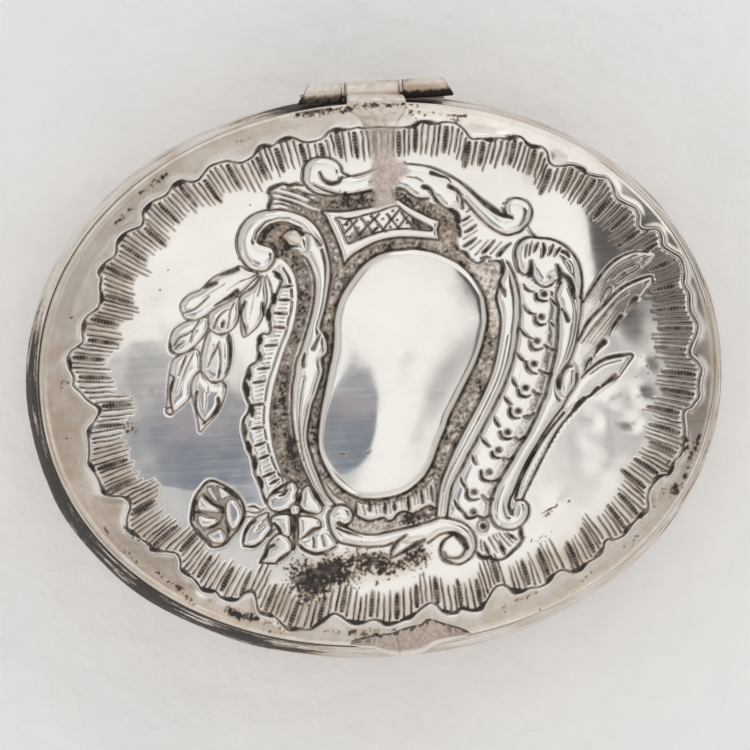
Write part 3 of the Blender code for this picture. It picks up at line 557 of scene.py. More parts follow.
# How deep they and the lines between them are cut at each turn, as a share
RAY_DEPTH = [(0, 0.4), (32, 0.4), (56, 1), (304, 1), (328, 0.4), (360, 0.4)]
# Half widths along a flute, from the scalloped line inwards, as shares of its girth
FLUTE_WIDTHS = np.array([0.7, 1.0, 1.0, 0.95, 0.9, 0.8, 0.45])
FLUTE_TICKS = 3.2           # pixels from one tick to the next
RAY_SPACE = 1.12            # degrees from one thin line to the next, at the most
# Tarnish outside the scalloped line at each turn
RIM_TARNISH = [
    (0, 0.68), (20, 0.62), (35, 0.3), (60, 0.22), (80, 0.4), (100, 0.55), (120, 0.6), (140, 0.5), (160, 0.5),
    (185, 0.8), (210, 0.7), (230, 0.75), (255, 0.65), (285, 0.55), (315, 0.6), (340, 0.7), (360, 0.68)]
# How the sheet falls towards its edge: from and to as shares of the way out, and by how much
BORDER_FALLS = [(0.83, 0.93, 0.07), (0.935, 0.975, 0.035)]
# Tarnish and oxide on the flutes: from and to in degrees, and the strength of each
FLUTE_TARNISH = [
    (138, 167, 0.5, 0), (193, 223, 0.55, 0), (246, 258, 0.5, 0.13), (298, 315, 0.55, 0), (60, 84, 0.25, 0),
    (110, 137, 0.3, 0), (224, 245, 0.3, 0), (259, 297, 0.35, 0), (20, 58, 0.2, 0.13), (316, 340, 0.3, 0),
    (0, 12, 0.2, 0.13), (347, 360, 0.2, 0.13)]
# Turns of the dark blobs on the scalloped line
BORDER_BLOBS = [
    48.2, 59.1, 63.6, 66.8, 78.5, 81.5, 94.2, 104.2, 108.5, 126.3, 134.2, 143.0, 151.0, 157.5, 165.0, 173.5, 183.9,
    188.7, 196.8, 203.0, 207.3, 214.8, 220.4, 228.6, 234.6, 239.2, 242.3, 247.2, 252.9, 257.4, 263.4, 268.8, 272.2,
    279.6, 282.0, 285.0, 293.4, 299.8, 305.6, 310.6, 318.3, 322.6, 331.2, 334.4]
# The band of scales: a dot's place and the crescent round it, then the commas and ticks beside them
SCALES = [
    ((544, 294), (536, 294), (537, 299), (542, 301), (548, 301)),
    ((541.5, 317), (535, 317), (536, 322), (540, 325), (546, 324)),
    ((537, 341), (530, 342), (532, 348), (537, 350), (543, 348)),
    ((534, 364), (526, 362), (527, 367), (531, 372), (537, 374)),
    ((525.6, 388), (518, 390), (520, 395), (526, 397), (531, 395)),
    ((518.4, 411), (510, 408), (510, 414), (514, 418), (520, 418)),
    ((507.6, 432), (500, 432), (502, 437), (507, 439), (513, 438)),
    ((498.7, 450), (492, 452), (493, 456), (497, 458), (501, 458)),
    ((489, 472), (481, 471), (482, 478), (487, 481), (492, 481)),
    ((474, 492), (467, 490), (467, 496), (472, 500), (479, 499)),
    ((473.5, 511.6), (464, 513), (468, 518), (475, 517), (478, 515))]
SCALE_COMMAS = [
    [(523, 284), (527, 290), (534, 292)], [(523, 305), (526, 310), (531, 313.5), (536, 314)],
    [(520, 328), (523, 333), (528, 337), (533, 338.5)], [(517, 353), (520, 358), (525, 362)],
    [(512, 378), (514, 383), (517, 387)], [(504, 397), (508, 402), (512, 405)], [(494, 417), (496, 422), (500, 427)],
    [(481, 437), (484, 442), (490, 447)], [(472, 455), (474, 461), (477, 465)], [(461, 477), (462, 482), (466, 488)],
    [(454, 500), (458, 507), (465, 513)]]
SCALE_TICKS = [
    [(551, 299), (554, 303), (558, 306)], [(550, 322), (554, 326)], [(545, 345), (550, 349), (555, 350)],
    [(540, 370), (545, 373), (551, 374)], [(533, 390), (537, 394), (541, 394)], [(524, 416), (530, 416), (534, 413)],
    [(515, 437), (519, 440), (524, 437)], [(503, 458), (509, 459), (514, 457)], [(491, 481), (498, 480), (501, 478)],
    [(482, 495), (487, 499), (493, 499)], [(478, 516), (484, 518), (488, 516)]]


def draw_border():
    """The scalloped line, the flutes and lines that run in from it, and the rim outside it."""
    turns, shares = np.array(BORDER).T
    turns = np.append(turns, 360)
    shares = np.append(shares, shares[0])
    path = oval_pixel(turns[:-1], shares[:-1])
    fine = curve(path, True, 2.0)
    box, far, _ = near(fine, 16, True)
    body = inside(fine, box)
    HEIGHT[box] += np.where(body, -0.05 * smoothstep(0, 5, far), 0.035 * (1 - smoothstep(1, 8, far)))
    line(path, 1.15, 0.11, 0.9, closed=True)
    for turn in BORDER_BLOBS:
        spread = 1.15 + 0.4 * SEED.random()
        three = np.array([turn - spread, turn, turn + spread])
        places = oval_pixel(three, np.interp(three, turns, shares) - 0.005)
        line(places, [0.8, 2.7 + 0.8 * SEED.random(), 0.8], 0.12, 0.88)

    def ray(turn, width, start, long_share, ink, ticks):
        """A flute, with ticks across it, or a plain thin line between two flutes."""
        lean = np.interp(turn, *np.array(FLUTE_LEAN).T)
        top = np.interp((turn - lean / 2) % 360, turns, shares) - start
        parts = np.linspace(0, 1, 5)
        sway = (0.14 if ticks else 0.28) * SEED.standard_normal((5, 2))
        places = oval_pixel(turn + lean * (parts - 0.5), top - long_share * parts)
        depth = np.interp(turn % 360, *np.array(RAY_DEPTH).T) * (0.11 if ticks else 0.055)
        line(places + sway, width, depth, ink, ticks=ticks)

    for turn, follow in zip(FLUTES, FLUTES[1:] + [FLUTES[0] + 360]):
        girth = 2.9 + 0.5 * SEED.random()
        ray(turn, FLUTE_WIDTHS * girth, 0.019, 0.078 + 0.014 * SEED.random(), 1.0, FLUTE_TICKS)
        space = follow - turn
        count = max(1, int(round(space / RAY_SPACE)) - 1)
        for step in range(1, count + 1):
            where = (turn + space * (step + 0.24 * (SEED.random() - 0.5)) / (count + 1)) % 360
            width = 0.9 + 0.35 * SEED.random()
            ray(where, [width, width, width * 0.9, width * 0.5], 0.012, 0.082 + 0.034 * SEED.random(),
                0.84 + 0.15 * SEED.random(), 0)
    gx, gy = GX[None] - SEAM_CENTRE[0], SEAM_CENTRE[1] - GY[:, None]
    along = (gx * math.cos(SEAM_ROLL) + gy * math.sin(SEAM_ROLL)) / SEAM_HALF[0]
    across = (gy * math.cos(SEAM_ROLL) - gx * math.sin(SEAM_ROLL)) / SEAM_HALF[1]
    turn_here = np.degrees(np.arctan2(across, along)) % 360
    out = (np.abs(along) ** OVAL_EXPONENT + np.abs(across) ** OVAL_EXPONENT) ** (1 / OVAL_EXPONENT)
    for low, high, depth in BORDER_FALLS:
        HEIGHT[:] -= depth * smoothstep(low, high, out)
    rim = smoothstep(0.01, 0.035, out - np.interp(turn_here, turns, shares))
    WARM[:] = np.maximum(WARM, rim * np.interp(turn_here, *np.array(RIM_TARNISH).T))
    for low, high, warm, ink in FLUTE_TARNISH:
        edge = np.linspace(low, high, 9)
        limit = np.interp(edge, turns, shares)
        for outer, inner, soft, field, amount in ((0, 0.11, 6, INK, ink), (0.01, 0.10, 8, WARM, warm)):
            stain([*oval_pixel(edge, limit - outer), *oval_pixel(edge, limit - inner)[::-1]], soft, field, amount)


# The plain shield: the width of its shoulder in pixels, then its heights in millimetres
BOSS_SHOULDER = 9.0
BOSS_LEDGE = 0.30
BOSS_SWELL = 0.45
# Its flattened side: a point on it, its height there, its rise for each pixel and how soft its crease is
BOSS_FLAT_AT = (350, 430)
BOSS_FLAT_HEIGHT = 0.50
BOSS_FLAT_RISE = (0.0066, 0.0010)
BOSS_FLAT_CREASE = 0.015
# Its swell is worked out on every fourth sample, in so many rounds
BOSS_COARSE = 4
BOSS_ROUNDS = 2500


def draw_boss():
    """The plain shield in the middle, blown up like a skin held at its outline."""
    path = curve(BOSS, True)
    box = window(path.min(0) - 4, path.max(0) + 4)
    body = inside(path, box)
    rows, cols = (size // BOSS_COARSE * BOSS_COARSE for size in body.shape)
    small = body[:rows:BOSS_COARSE, :cols:BOSS_COARSE].astype(float)
    level = np.zeros_like(small)
    for _ in range(BOSS_ROUNDS):
        level[1:-1, 1:-1] = (level[:-2, 1:-1] + level[2:, 1:-1] + level[1:-1, :-2] + level[1:-1, 2:] + 1) / 4
        level *= small
    x, y = [np.clip(np.arange(body.shape[axis]) / BOSS_COARSE, 0, small.shape[axis] - 1.001) for axis in (1, 0)]
    swell = np.clip(between(level, *np.meshgrid(x, y)) / level.max(), 0, 1)
    ledge, far, _ = near(path, BOSS_SHOULDER, True)
    edge = np.ones_like(swell)
    j, i = ledge[0].start - box[0].start, ledge[1].start - box[1].start
    part = np.s_[max(j, 0):j + far.shape[0], max(i, 0):i + far.shape[1]]
    size = edge[part].shape
    edge[part] = (far / BOSS_SHOULDER)[max(-j, 0):max(-j, 0) + size[0], max(-i, 0):max(-i, 0) + size[1]]
    rise = BOSS_LEDGE * shoulder_of(edge) + BOSS_SWELL * swell
    gx, gy = GX[box[1]][None] - BOSS_FLAT_AT[0], BOSS_FLAT_AT[1] - GY[box[0]][:, None]
    flat = BOSS_FLAT_HEIGHT + BOSS_FLAT_RISE[0] * gx + BOSS_FLAT_RISE[1] * gy
    rise = (rise + flat - np.sqrt((rise - flat) ** 2 + BOSS_FLAT_CREASE ** 2)) / 2
    HEIGHT[box] = np.where(body, rise, HEIGHT[box])
    wipe(box, body, WARM, INK, GRAIN)
    line(BOSS, 1.7, 0.12, 0.88, closed=True)


def draw_rails():
    """The raised rails and scrolls with their outlines."""
    pillow(ribbon(VOLUTE_LEFT + RAIL_LEFT_OUT[1:], VOLUTE_BALL + VOLUTE_LEFT_IN + RAIL_LEFT_IN[1:]), 0.38, 12, -0.02)
    pillow(VOLUTE_HOOK, 0.3, 8, 0.0)
    pillow(ribbon(VOLUTE_TOP[:9] + SCROLL_TOP[1:], SCROLL_UNDER), 0.34, 10, -0.02)
    pillow(RAIL_LEAF, 0.36, 7, 0.02)
    pillow(ribbon(INNER_RAIL_LEFT, INNER_RAIL_RIGHT), 0.35, 10, -0.02)
    pillow(ribbon(OUTER_RAIL_LEFT, OUTER_RAIL_RIGHT), 0.35, 10, -0.02)
    pillow(CREST, 0.4, 14, 0.0)
    pillow(ribbon(BOTTOM_SCROLL_LOWER, BOTTOM_SCROLL_UPPER) + BOTTOM_BALL, 0.36, 10, -0.02)
    # outlined but for the places where one form runs into another
    outlines = [VOLUTE_LEFT + RAIL_LEFT_OUT[1:7], RAIL_LEFT_OUT[10:], RAIL_LEFT_IN,
                VOLUTE_TOP[:9] + SCROLL_TOP[1:5], SCROLL_TOP[6:], SCROLL_UNDER[:10], SCROLL_UNDER[11:16],
                SCROLL_UNDER[20:], INNER_RAIL_LEFT, INNER_RAIL_RIGHT, OUTER_RAIL_LEFT, OUTER_RAIL_RIGHT[1:8],
                OUTER_RAIL_RIGHT[11:], BOTTOM_SCROLL_UPPER, BOTTOM_SCROLL_LOWER[:11], BOTTOM_SCROLL_LOWER[14:]]
    for outline in outlines:
        line(outline, 1.4, 0.12, 0.82)
    line(CREST[:15], 1.6, 0.12, 0.86)
    line(CREST[18:] + CREST[:1], 1.3, 0.12, 0.78)
    line(VOLUTE_LEFT[:1] + VOLUTE_BALL + VOLUTE_LEFT_IN[:4], [1.4, 1.2, 1.3, 1.3, 1.0], 0.1, 0.8)
    line(BOTTOM_SCROLL_UPPER[1::-1] + BOTTOM_BALL + BOTTOM_SCROLL_LOWER[:2], [1.6, 1.8, 1.4, 1.3, 1.3], 0.12, 0.82)
    line(RAIL_LEAF[:8], [1.2, 2.4, 1.6], 0.1, 0.8)


def ring_points(x, y, radius, count):
    """Points of a circle."""
    return [(x + radius * math.cos(a), y + radius * math.sin(a))
            for a in np.linspace(0, 2 * math.pi, count, endpoint=False)]


def draw_scroll_marks():
    """Chased lines and hollows on the rails and scrolls."""
    strokes([
        ([1.6, 1.8, 1.0], (255, 239), (257, 232), (261, 227), (266, 222), (272, 220)),
        ([0.9, 0.5], (272, 220), (280, 218), (290, 218)),
        ([2.6, 4.0, 3.4, 1.5, 0.8], (262, 241), (266, 233), (272, 227), (280, 224), (290, 226)),
        ([0.9, 1.3, 3.2], (305, 232), (311, 235), (316, 240), (320, 245)),
        ([1.0, 1.6, 3.6], (282, 234), (288, 230), (296, 229), (302, 234)),
        ([3.0, 2.4, 2.2, 1.2], (281, 238), (285, 241), (289, 246), (298, 246)),
        ([1.2, 2.6, 3.0, 2.4], (262, 242), (269, 243), (275, 248), (278, 257)),
        ([1.0, 3.2], (320, 335), (313, 349)),
        ([3.2, 1.5], (326, 334), (328, 340)),
        ([3.0, 2.6, 1.2], (303, 366), (303, 360), (305, 353)),
        ([1.0, 3.4, 2.5], (327, 354), (323, 359), (324, 365)),
        ([0.8, 0.9, 0.6], (304, 378), (300, 402), (299, 425), (303, 455), (313, 482), (326, 503)),
        ([1.6, 3.0, 3.4, 2.6, 1.2], (342, 177), (338, 182), (329.5, 183.5), (323, 179.5), (319.5, 172)),
        ([1.2, 1.6, 1.8, 1.4], (313, 185), (326, 191), (346, 195), (372, 191)),
        ([0.8, 1.1, 0.8], (343, 178), (356, 175), (374, 170)),
        ([0.9, 2.2, 3.0, 2.6, 1.0], (460, 183), (472, 193), (484, 204), (498, 214), (513, 219)),
        ([1.2, 2.0, 1.4], (503.2, 208), (504.4, 213.4), (512, 217)),
        ([1.0, 1.2], (528, 226), (531, 232), (536, 237)),
        ([3.2, 2.0, 0.7], (431, 173), (440, 176), (447, 178), (451, 183)),
        ([3.4, 2.4, 1.8, 1.4], (424, 187), (430, 190), (434, 197), (440, 205), (449, 210)),
        ([3.2, 2.8, 2.2, 1.2], (450, 187), (457, 191), (462, 199), (463, 209)),
        ([0.8, 1.0, 0.6], (407, 177), (415, 178), (423, 182)),
        ([1.0, 1.6], (395, 190), (404, 190)),
        ([1.2, 2.4, 3.6, 1.0], (499, 281), (501, 287), (504, 293), (505, 297)),
        ([0.7, 0.8, 0.5], (508, 335), (503, 360), (497, 380), (482, 412), (466, 442), (450, 472), (443, 492)),
        ([1.6, 2.4, 2.8], (562, 309), (565, 314), (568, 321)),
        ([0.9, 3.0, 2.4], (569, 284), (572, 291), (575, 298)),
        ([0.8, 1.0, 0.6], (568, 288), (574, 303), (576, 318), (573, 338), (566, 360)),
        ([1.2, 3.0, 4.2, 2.6], (564, 371), (561, 376), (559, 382), (559, 388)),
        ([1.4, 2.4, 2.2], (510, 499), (509, 507), (512, 514)),
        ([1.8, 1.6, 0.8], (337, 528), (346, 532), (362, 537)),
        ([2.4, 2.8, 1.4], (405, 536), (398, 541), (392, 550), (391, 558)),
        ([2.8, 3.4, 2.6, 1.0], (424, 540), (415, 545), (405, 551), (392, 558)),
        ([1.0, 3.4, 4.6, 3.0], (446, 533), (455, 534), (463, 540), (467, 548)),
        ([1.4, 2.0, 2.2, 2.0, 1.4], (452, 535.6), (444.6, 540), (440.6, 548), (443, 557), (453, 563)),
        ([2.0, 2.8, 1.6], (543, 244), (544, 250), (542, 257)),
        ([1.4, 2.2, 1.0], (538, 243), (536, 247), (534, 252)),
        ([1.8, 2.4, 1.2], (553, 245), (551, 250), (549, 255)),
        ([1.6, 2.0, 1.0], (560, 248), (557, 252), (555, 256)),
        ([2.4, 3.4, 2.0], (562, 252), (566, 253), (569, 257)),
        ([0.9, 1.3, 0.8], (527, 244), (526, 251), (525, 258)), ([0.9, 1.2, 0.8], (532, 241), (530, 248), (529, 256)),
        ([1.0, 1.4, 0.9], (565, 261), (569, 266), (571, 272)),
        ([2.0, 3.6, 4.2], (531, 261), (531, 268), (530, 275)),
        ([1.6, 3.6, 3.6, 1.5], (557, 265), (559, 271), (560, 277), (558, 283)),
        ([3.0, 4.4, 3.4, 1.4], (562, 274), (567, 278), (571, 284), (575, 296)),
        ([2.8, 3.6, 4.6, 4.0], (450, 210), (454, 212), (457, 216), (458, 221)),
        ([1.5, 3.4, 2.2], (457, 224), (459, 230), (460, 236)),
    ])


TRELLIS = [
    ((350, 220), (360, 236)), ((361, 218), (374, 234)), ((371, 215), (385, 232)), ((387, 214), (399, 229)),
    ((401, 212), (414, 229)), ((412, 219), (420, 229)), ((345, 233), (357, 220)), ((352, 242), (379, 214)),
    ((370, 235), (378, 227)), ((382, 231), (400, 209)), ((397, 229), (407, 217)), ((345, 225), (349, 220))]
TRELLIS_DOTS = [(347, 225), (358, 228), (368, 222), (375, 229), (383, 219), (390, 227), (397, 220), (350, 237),
                (393, 211), (407, 223)]


def draw_trellis():
    """The framed panel of crossed lines and dots."""
    pillow(FRAME_OUT, 0.3, 6, 0.02, smooth=False)
    box, far, body = area(FRAME_IN, 3, smooth=False)
    HEIGHT[box] -= np.where(body, 0.16 * smoothstep(0, 2, far), 0)
    line(FRAME_IN, 1.2, 0.1, 0.92, closed=True)
    line(FRAME_OUT, 1.5, 0.1, 0.85, closed=True)
    for pair in TRELLIS:
        line(pair, 1.15, 0.08, 0.9, straight=True)
    for x, y in TRELLIS_DOTS:
        dot(x, y, 1.7, 0.07, 0.85)
    stain([(412, 220), (430, 227), (428, 230), (412, 229)], 3, INK, 0.75)
    stain([(352, 232), (372, 230), (366, 236), (350, 243)], 3, INK, 0.55)


def draw_fans():
    """The small rayed strips beside the rails, the trellis and the shield."""
    edge = [
        (274, 271), (279, 275), (282, 280), (280, 286), (277, 293), (271, 305), (269, 312), (270, 323), (271, 330),
        (268, 334), (262, 334), (259, 340), (258, 348), (259, 355), (256, 362), (250, 366), (247, 374), (244, 386),
        (247, 398), (250, 405), (248, 413), (244, 419), (243, 430), (246, 442), (251, 454), (254, 464), (255, 473),
        (260, 484), (264, 497), (267, 504)]
    line(edge, 1.4, 0.1, 0.9)
    bed = edge + [(276, 494), (286, 484), (279, 470), (274, 458), (270, 445), (267, 430), (266, 418), (267, 405),
                  (269, 392), (271, 382), (275, 370), (279, 358), (283, 346), (288, 334), (291, 320), (294, 308),
                  (294, 294), (292, 280), (287, 270), (281, 263)]
    box, far, body = area(bed, 5)
    HEIGHT[box] += np.where(body, 0.10 * smoothstep(0, 5, far), 0)
    blobs = [(275, 272, 281, 279), (274, 294, 274, 303), (268, 310, 269, 320), (260, 336, 260, 343),
             (260, 353, 260, 360), (249, 368, 249, 379), (246, 383, 248, 395), (252, 405, 252, 416),
             (245, 425, 245, 436), (248, 442, 250, 452), (255, 456, 255, 469), (259, 477, 262, 487)]
    for blob in blobs:
        bar(*blob, [1.6, 3.6, 2.0], 0.11, 0.92)
    bars = [
        (282, 287, 292, 286), (279, 300, 291, 300), (274, 313, 287, 314), (274, 327, 285, 328), (265, 346, 277, 345),
        (258, 369, 269, 368), (253, 383, 265, 381), (253, 405, 264, 404), (252, 429, 264, 427), (255, 446, 266, 442),
        (259, 459, 269, 455), (263, 477, 275, 472), (270, 484, 279, 479), (274, 492, 288, 482)]
    for ends in bars:
        bar(*ends, [1.2, 2.1, 1.2], 0.09, 0.9)
    for (ax0, ay0, ax1, ay1), (bx0, by0, bx1, by1) in zip(bars, bars[1:]):
        count = max(1, int((by0 - ay0) / 4.2) - 1)
        for step in range(1, count + 1):
            share = step / (count + 1)
            ends = [(ax0 + (bx0 - ax0) * share + 1.5, ay0 + (by0 - ay0) * share),
                    (ax1 + (bx1 - ax1) * share - 1.5, ay1 + (by1 - ay1) * share)]
            line(ends, [0.6, 0.8, 0.5], 0.05, 0.55, straight=True)
    # right of the trellis
    strokes([
        ([1.4, 2.0, 1.0], (462, 221), (466, 219), (470, 216)), ([1.8, 2.4, 1.4], (466, 232), (471, 229), (476, 225)),
        ([2.2, 2.6, 1.4], (465, 246), (471, 242), (476, 238)), ([2.6, 2.2, 0.9], (484, 252), (489, 247), (495, 240)),
        ([2.8, 2.6, 1.2], (499, 255), (504, 249), (511, 243)), ([2.0, 3.0, 1.6], (453, 243), (455, 246), (458, 250)),
        ([2.0, 3.2, 1.8], (462, 251), (466, 254), (469, 258)), ([1.2, 1.3], (469, 258), (477, 263), (485, 260)),
        ([1.6, 2.4, 1.6], (482, 258), (486, 257), (490, 258)),
        ([1.4, 1.6, 2.6, 2.2], (490, 261), (498, 261), (502, 264), (502, 273)), ([0.7, 0.5], (463, 226), (474, 219)),
        ([0.7, 0.5], (464, 239), (478, 230)), ([0.7, 0.5], (470, 250), (482, 240)),
        ([0.7, 0.5], (476, 255), (489, 240)), ([0.7, 0.5], (491, 254), (502, 242)),
        ([0.7, 0.5], (467, 212), (472, 209)),
    ])
    # under the shield
    wave = [
        (357, 516), (362, 519), (368, 521), (375, 520), (384, 518), (387, 521), (393, 520), (398, 514), (402, 512),
        (407, 512), (412, 514), (418, 512), (424, 508), (430, 506), (436, 509)]
    bed = wave + [(434, 480), (424, 489), (412, 496), (398, 501), (385, 504), (372, 505), (360, 503), (354, 501)]
    box, far, body = area(bed, 4)
    HEIGHT[box] = np.where(body, 0.02 + 0.1 * smoothstep(0, 4, far), HEIGHT[box])
    wipe(box, body, GRAIN, INK)
    line(wave, 1.5, 0.1, 0.9)
    for ends in ((356, 502, 356, 513), (370, 503, 370, 511), (385, 503, 385, 513), (394, 502, 395, 510),
                 (408, 497, 409, 510), (421, 491, 423, 503), (431, 486, 433, 500)):
        bar(*ends, [1.3, 2.3, 1.3], 0.09, 0.92)
    for x, y0, y1 in ((363, 504, 515), (375, 505, 514), (379, 504, 513), (389, 503, 514), (401, 500, 508),
                      (404, 499, 508), (414, 495, 505), (417, 494, 504), (427, 488, 500)):
        line([(x, y0), (x + 1, y1)], [0.8, 0.5], 0.05, 0.65, straight=True)
    # under the scale band
    strokes([
        ([2.4, 3.0, 2.2, 1.8, 2.4, 2.4, 1.4], (477, 552), (482, 557), (490, 558), (497, 560), (505, 558), (513, 551),
         (519, 545), (524, 537)), ([1.0, 2.6, 1.0], (484, 542), (487, 549), (490, 556)),
        ([1.0, 2.8, 1.4], (499, 542), (502, 548), (505, 554)), ([1.0, 2.4, 1.0], (507, 533), (513, 537), (518, 540)),
        ([2.0, 3.2, 2.0], (521, 527), (521, 533), (522, 540)), ([0.8, 0.5], (489, 537), (498, 553)),
        ([0.8, 0.5], (493, 535), (502, 547)), ([0.9, 0.6], (499, 533), (511, 546)),
        ([0.8, 0.6], (481, 540), (482, 551)), ([0.8, 0.6], (504, 533), (514, 543)),
        ([0.7, 0.5], (496, 534), (506, 550)),
    ])
    # upper left and below the flower
    strokes([
        ([2.2, 3.4, 3.0, 1.6, 2.6, 2.6, 1.4], (268.4, 193), (270.5, 189), (276, 186), (283, 184), (289, 185.5),
         (295, 184.2), (303, 185.5)),
        ([2.0, 3.2, 2.4, 3.2, 1.8], (268.4, 209), (270.6, 202), (271.5, 198), (269.5, 194), (268.6, 191)),
        ([1.0, 1.6, 1.2, 0.6], (272.5, 192.5), (283, 195), (296, 199), (312, 206)),
        ([0.8, 1.4, 1.2, 0.6], (280, 189), (292, 191.5), (304, 196), (318, 203)),
        ([1.2, 1.8, 1.4, 0.6], (272.5, 198.5), (284, 200.5), (298, 205), (310, 210)),
        ([0.7, 1.0, 0.6], (287, 188), (298, 191), (310, 197)),
        ([1.0, 1.4, 0.8], (273, 204), (282, 204), (294, 208.5)),
        ([0.8, 1.6, 1.2, 0.7], (296, 189), (304, 193), (312, 195), (322, 199)),
        ([1.4, 2.4, 2.6, 2.0, 1.4], (297, 540), (303, 548), (312, 553), (322, 552), (332, 547), (339, 541)),
        ([1.0, 1.8, 1.0], (313, 539), (313, 544), (313, 548)), ([1.0, 1.8, 1.0], (323, 536), (324, 541), (325, 546)),
        ([0.7, 0.5], (318, 537), (318, 548)), ([0.7, 0.5], (328, 534), (332, 543)),
        ([0.7, 0.5], (308, 540), (306, 547)),
    ])


def draw_scales():
    """The band of dots, crescents and commas between the right rails."""
    for (x, y), *crescent in SCALES:
        line(crescent, [1.8, 2.2, 1.8, 0.9], 0.1, 0.92)
        dot(x, y, 3.9, 0.2, 0.82)
    for comma in SCALE_COMMAS:
        line(comma, [1.0, 2.0, 1.9, 0.9], 0.09, 0.9)
    for tick in SCALE_TICKS:
        line(tick, [1.2, 1.9, 1.6], 0.09, 0.88)
    line(ring_points(483, 526, 6, 12), 0.8, 0.06, 0.75, closed=True)
    dot(483.5, 526, 4.2, 0.2, 0.9)
    shade = [
        (549, 330), (554, 350), (548, 372), (543, 392), (534, 412), (524, 432), (514, 450), (502, 472), (490, 500),
        (484, 500), (496, 472), (508, 450), (518, 430), (528, 408), (536, 388), (541, 368), (544, 345)]
    stain(shade, 6, GRAIN, 0.8)
    stain(shade, 5, INK, 0.22)


def draw_leaves():
    """The spray of leaves at the left."""
    for leaf in LEAVES:
        pillow(leaf, 0.20, 9, 0.02)
    for leaf in LEAVES:
        line(leaf, 0.95, 0.06, 0.72, closed=True)
    strokes([
        ([3.4, 4.0, 2.0], (238, 269), (230, 272), (220, 275)), ([3.0, 4.2, 2.4], (216, 283), (210, 285), (205, 288)),
        ([4.2, 3.8, 2.2, 1.2], (237, 291), (231, 296), (224, 300), (214, 306)),
        ([1.0, 1.6, 1.0], (183, 313), (190, 311), (197, 307), (209, 296)),
        ([0.8, 1.2], (240, 281), (250, 278), (258, 273)),
        ([2.0, 1.4, 0.8], (214, 328), (217, 319), (223, 312), (229, 309)),
        ([1.8, 1.2, 1.0], (234, 303), (230, 311), (229, 319), (227, 329)), ([2.6, 3.2], (222, 327), (223, 323)),
        ([2.4, 3.2, 1.2, 1.2], (245, 302), (243, 306), (241, 314), (243, 322)),
        ([1.6, 2.8, 1.6], (243, 322), (245, 328), (246, 334)), ([2.6, 3.2, 1.6], (263, 303), (263, 308), (264, 315)),
        ([1.2, 1.4, 0.8], (262, 276), (260, 287), (257, 297)), ([1.4, 1.6, 1.0], (266, 276), (270, 284), (272, 294)),
        ([1.3, 1.4, 1.3], (260, 275), (256, 283), (248, 290)),
        ([1.4, 1.6, 1.2, 1.6], (174, 346), (179, 338), (187, 334), (193, 330)),
        ([1.6, 1.2, 1.0], (199, 321), (193, 331), (190, 343)), ([2.6, 2.8, 1.6], (170, 344), (171, 350), (175, 353)),
        ([1.4, 2.0, 1.2], (175, 349), (179, 345), (183, 343)),
        ([2.2, 2.8, 3.0, 2.2, 1.2], (228, 336), (230, 346), (230, 356), (229, 366), (225, 374)),
        ([1.4, 1.6, 1.0, 0.9], (219, 342), (215, 351), (210, 361), (207, 368)),
        ([1.0, 1.3, 1.6, 2.0], (218, 344), (220, 355), (220, 367), (218, 378)),
        ([1.0, 2.4, 3.0, 2.2], (170, 374), (174, 378), (172, 384), (170, 395)),
        ([1.8, 2.2, 1.2], (170, 395), (171, 404), (173, 411)), ([1.0, 1.2, 0.8], (193, 354), (187, 366), (182, 380)),
        ([1.6, 1.8, 1.0], (186, 356), (182, 366), (178, 376)),
        ([2.8, 3.0, 1.4, 1.4, 1.8], (197, 392), (196, 396), (196, 406), (199, 415), (205, 423)),
        ([2.8, 3.6, 3.2, 2.0, 1.6], (218, 398), (219, 404), (216, 411), (210, 418), (203, 424)),
        ([1.0, 0.6], (208, 386), (208, 394)), ([1.2, 1.2], (222, 382), (226, 388)),
        ([0.5, 0.6, 0.4], (225, 284), (212, 292), (200, 299)), ([0.5, 0.6, 0.4], (245, 280), (236, 284), (226, 291)),
        ([0.5, 0.6, 0.4], (254, 294), (252, 306), (249, 320)), ([0.5, 0.6, 0.4], (186, 345), (192, 338), (197, 331)),
        ([0.5, 0.6, 0.4], (214, 346), (211, 356), (209, 366)), ([0.5, 0.6, 0.4], (224, 344), (225, 356), (224, 368)),
        ([0.5, 0.6, 0.4], (186, 370), (181, 382), (176, 395)), ([0.5, 0.6, 0.4], (206, 392), (206, 403), (204, 413)),
    ], 0.06, 0.84, 0.72)
    line(ring_points(169.5, 411, 3.6, 10), 1.1, 0.07, 0.8, closed=True)


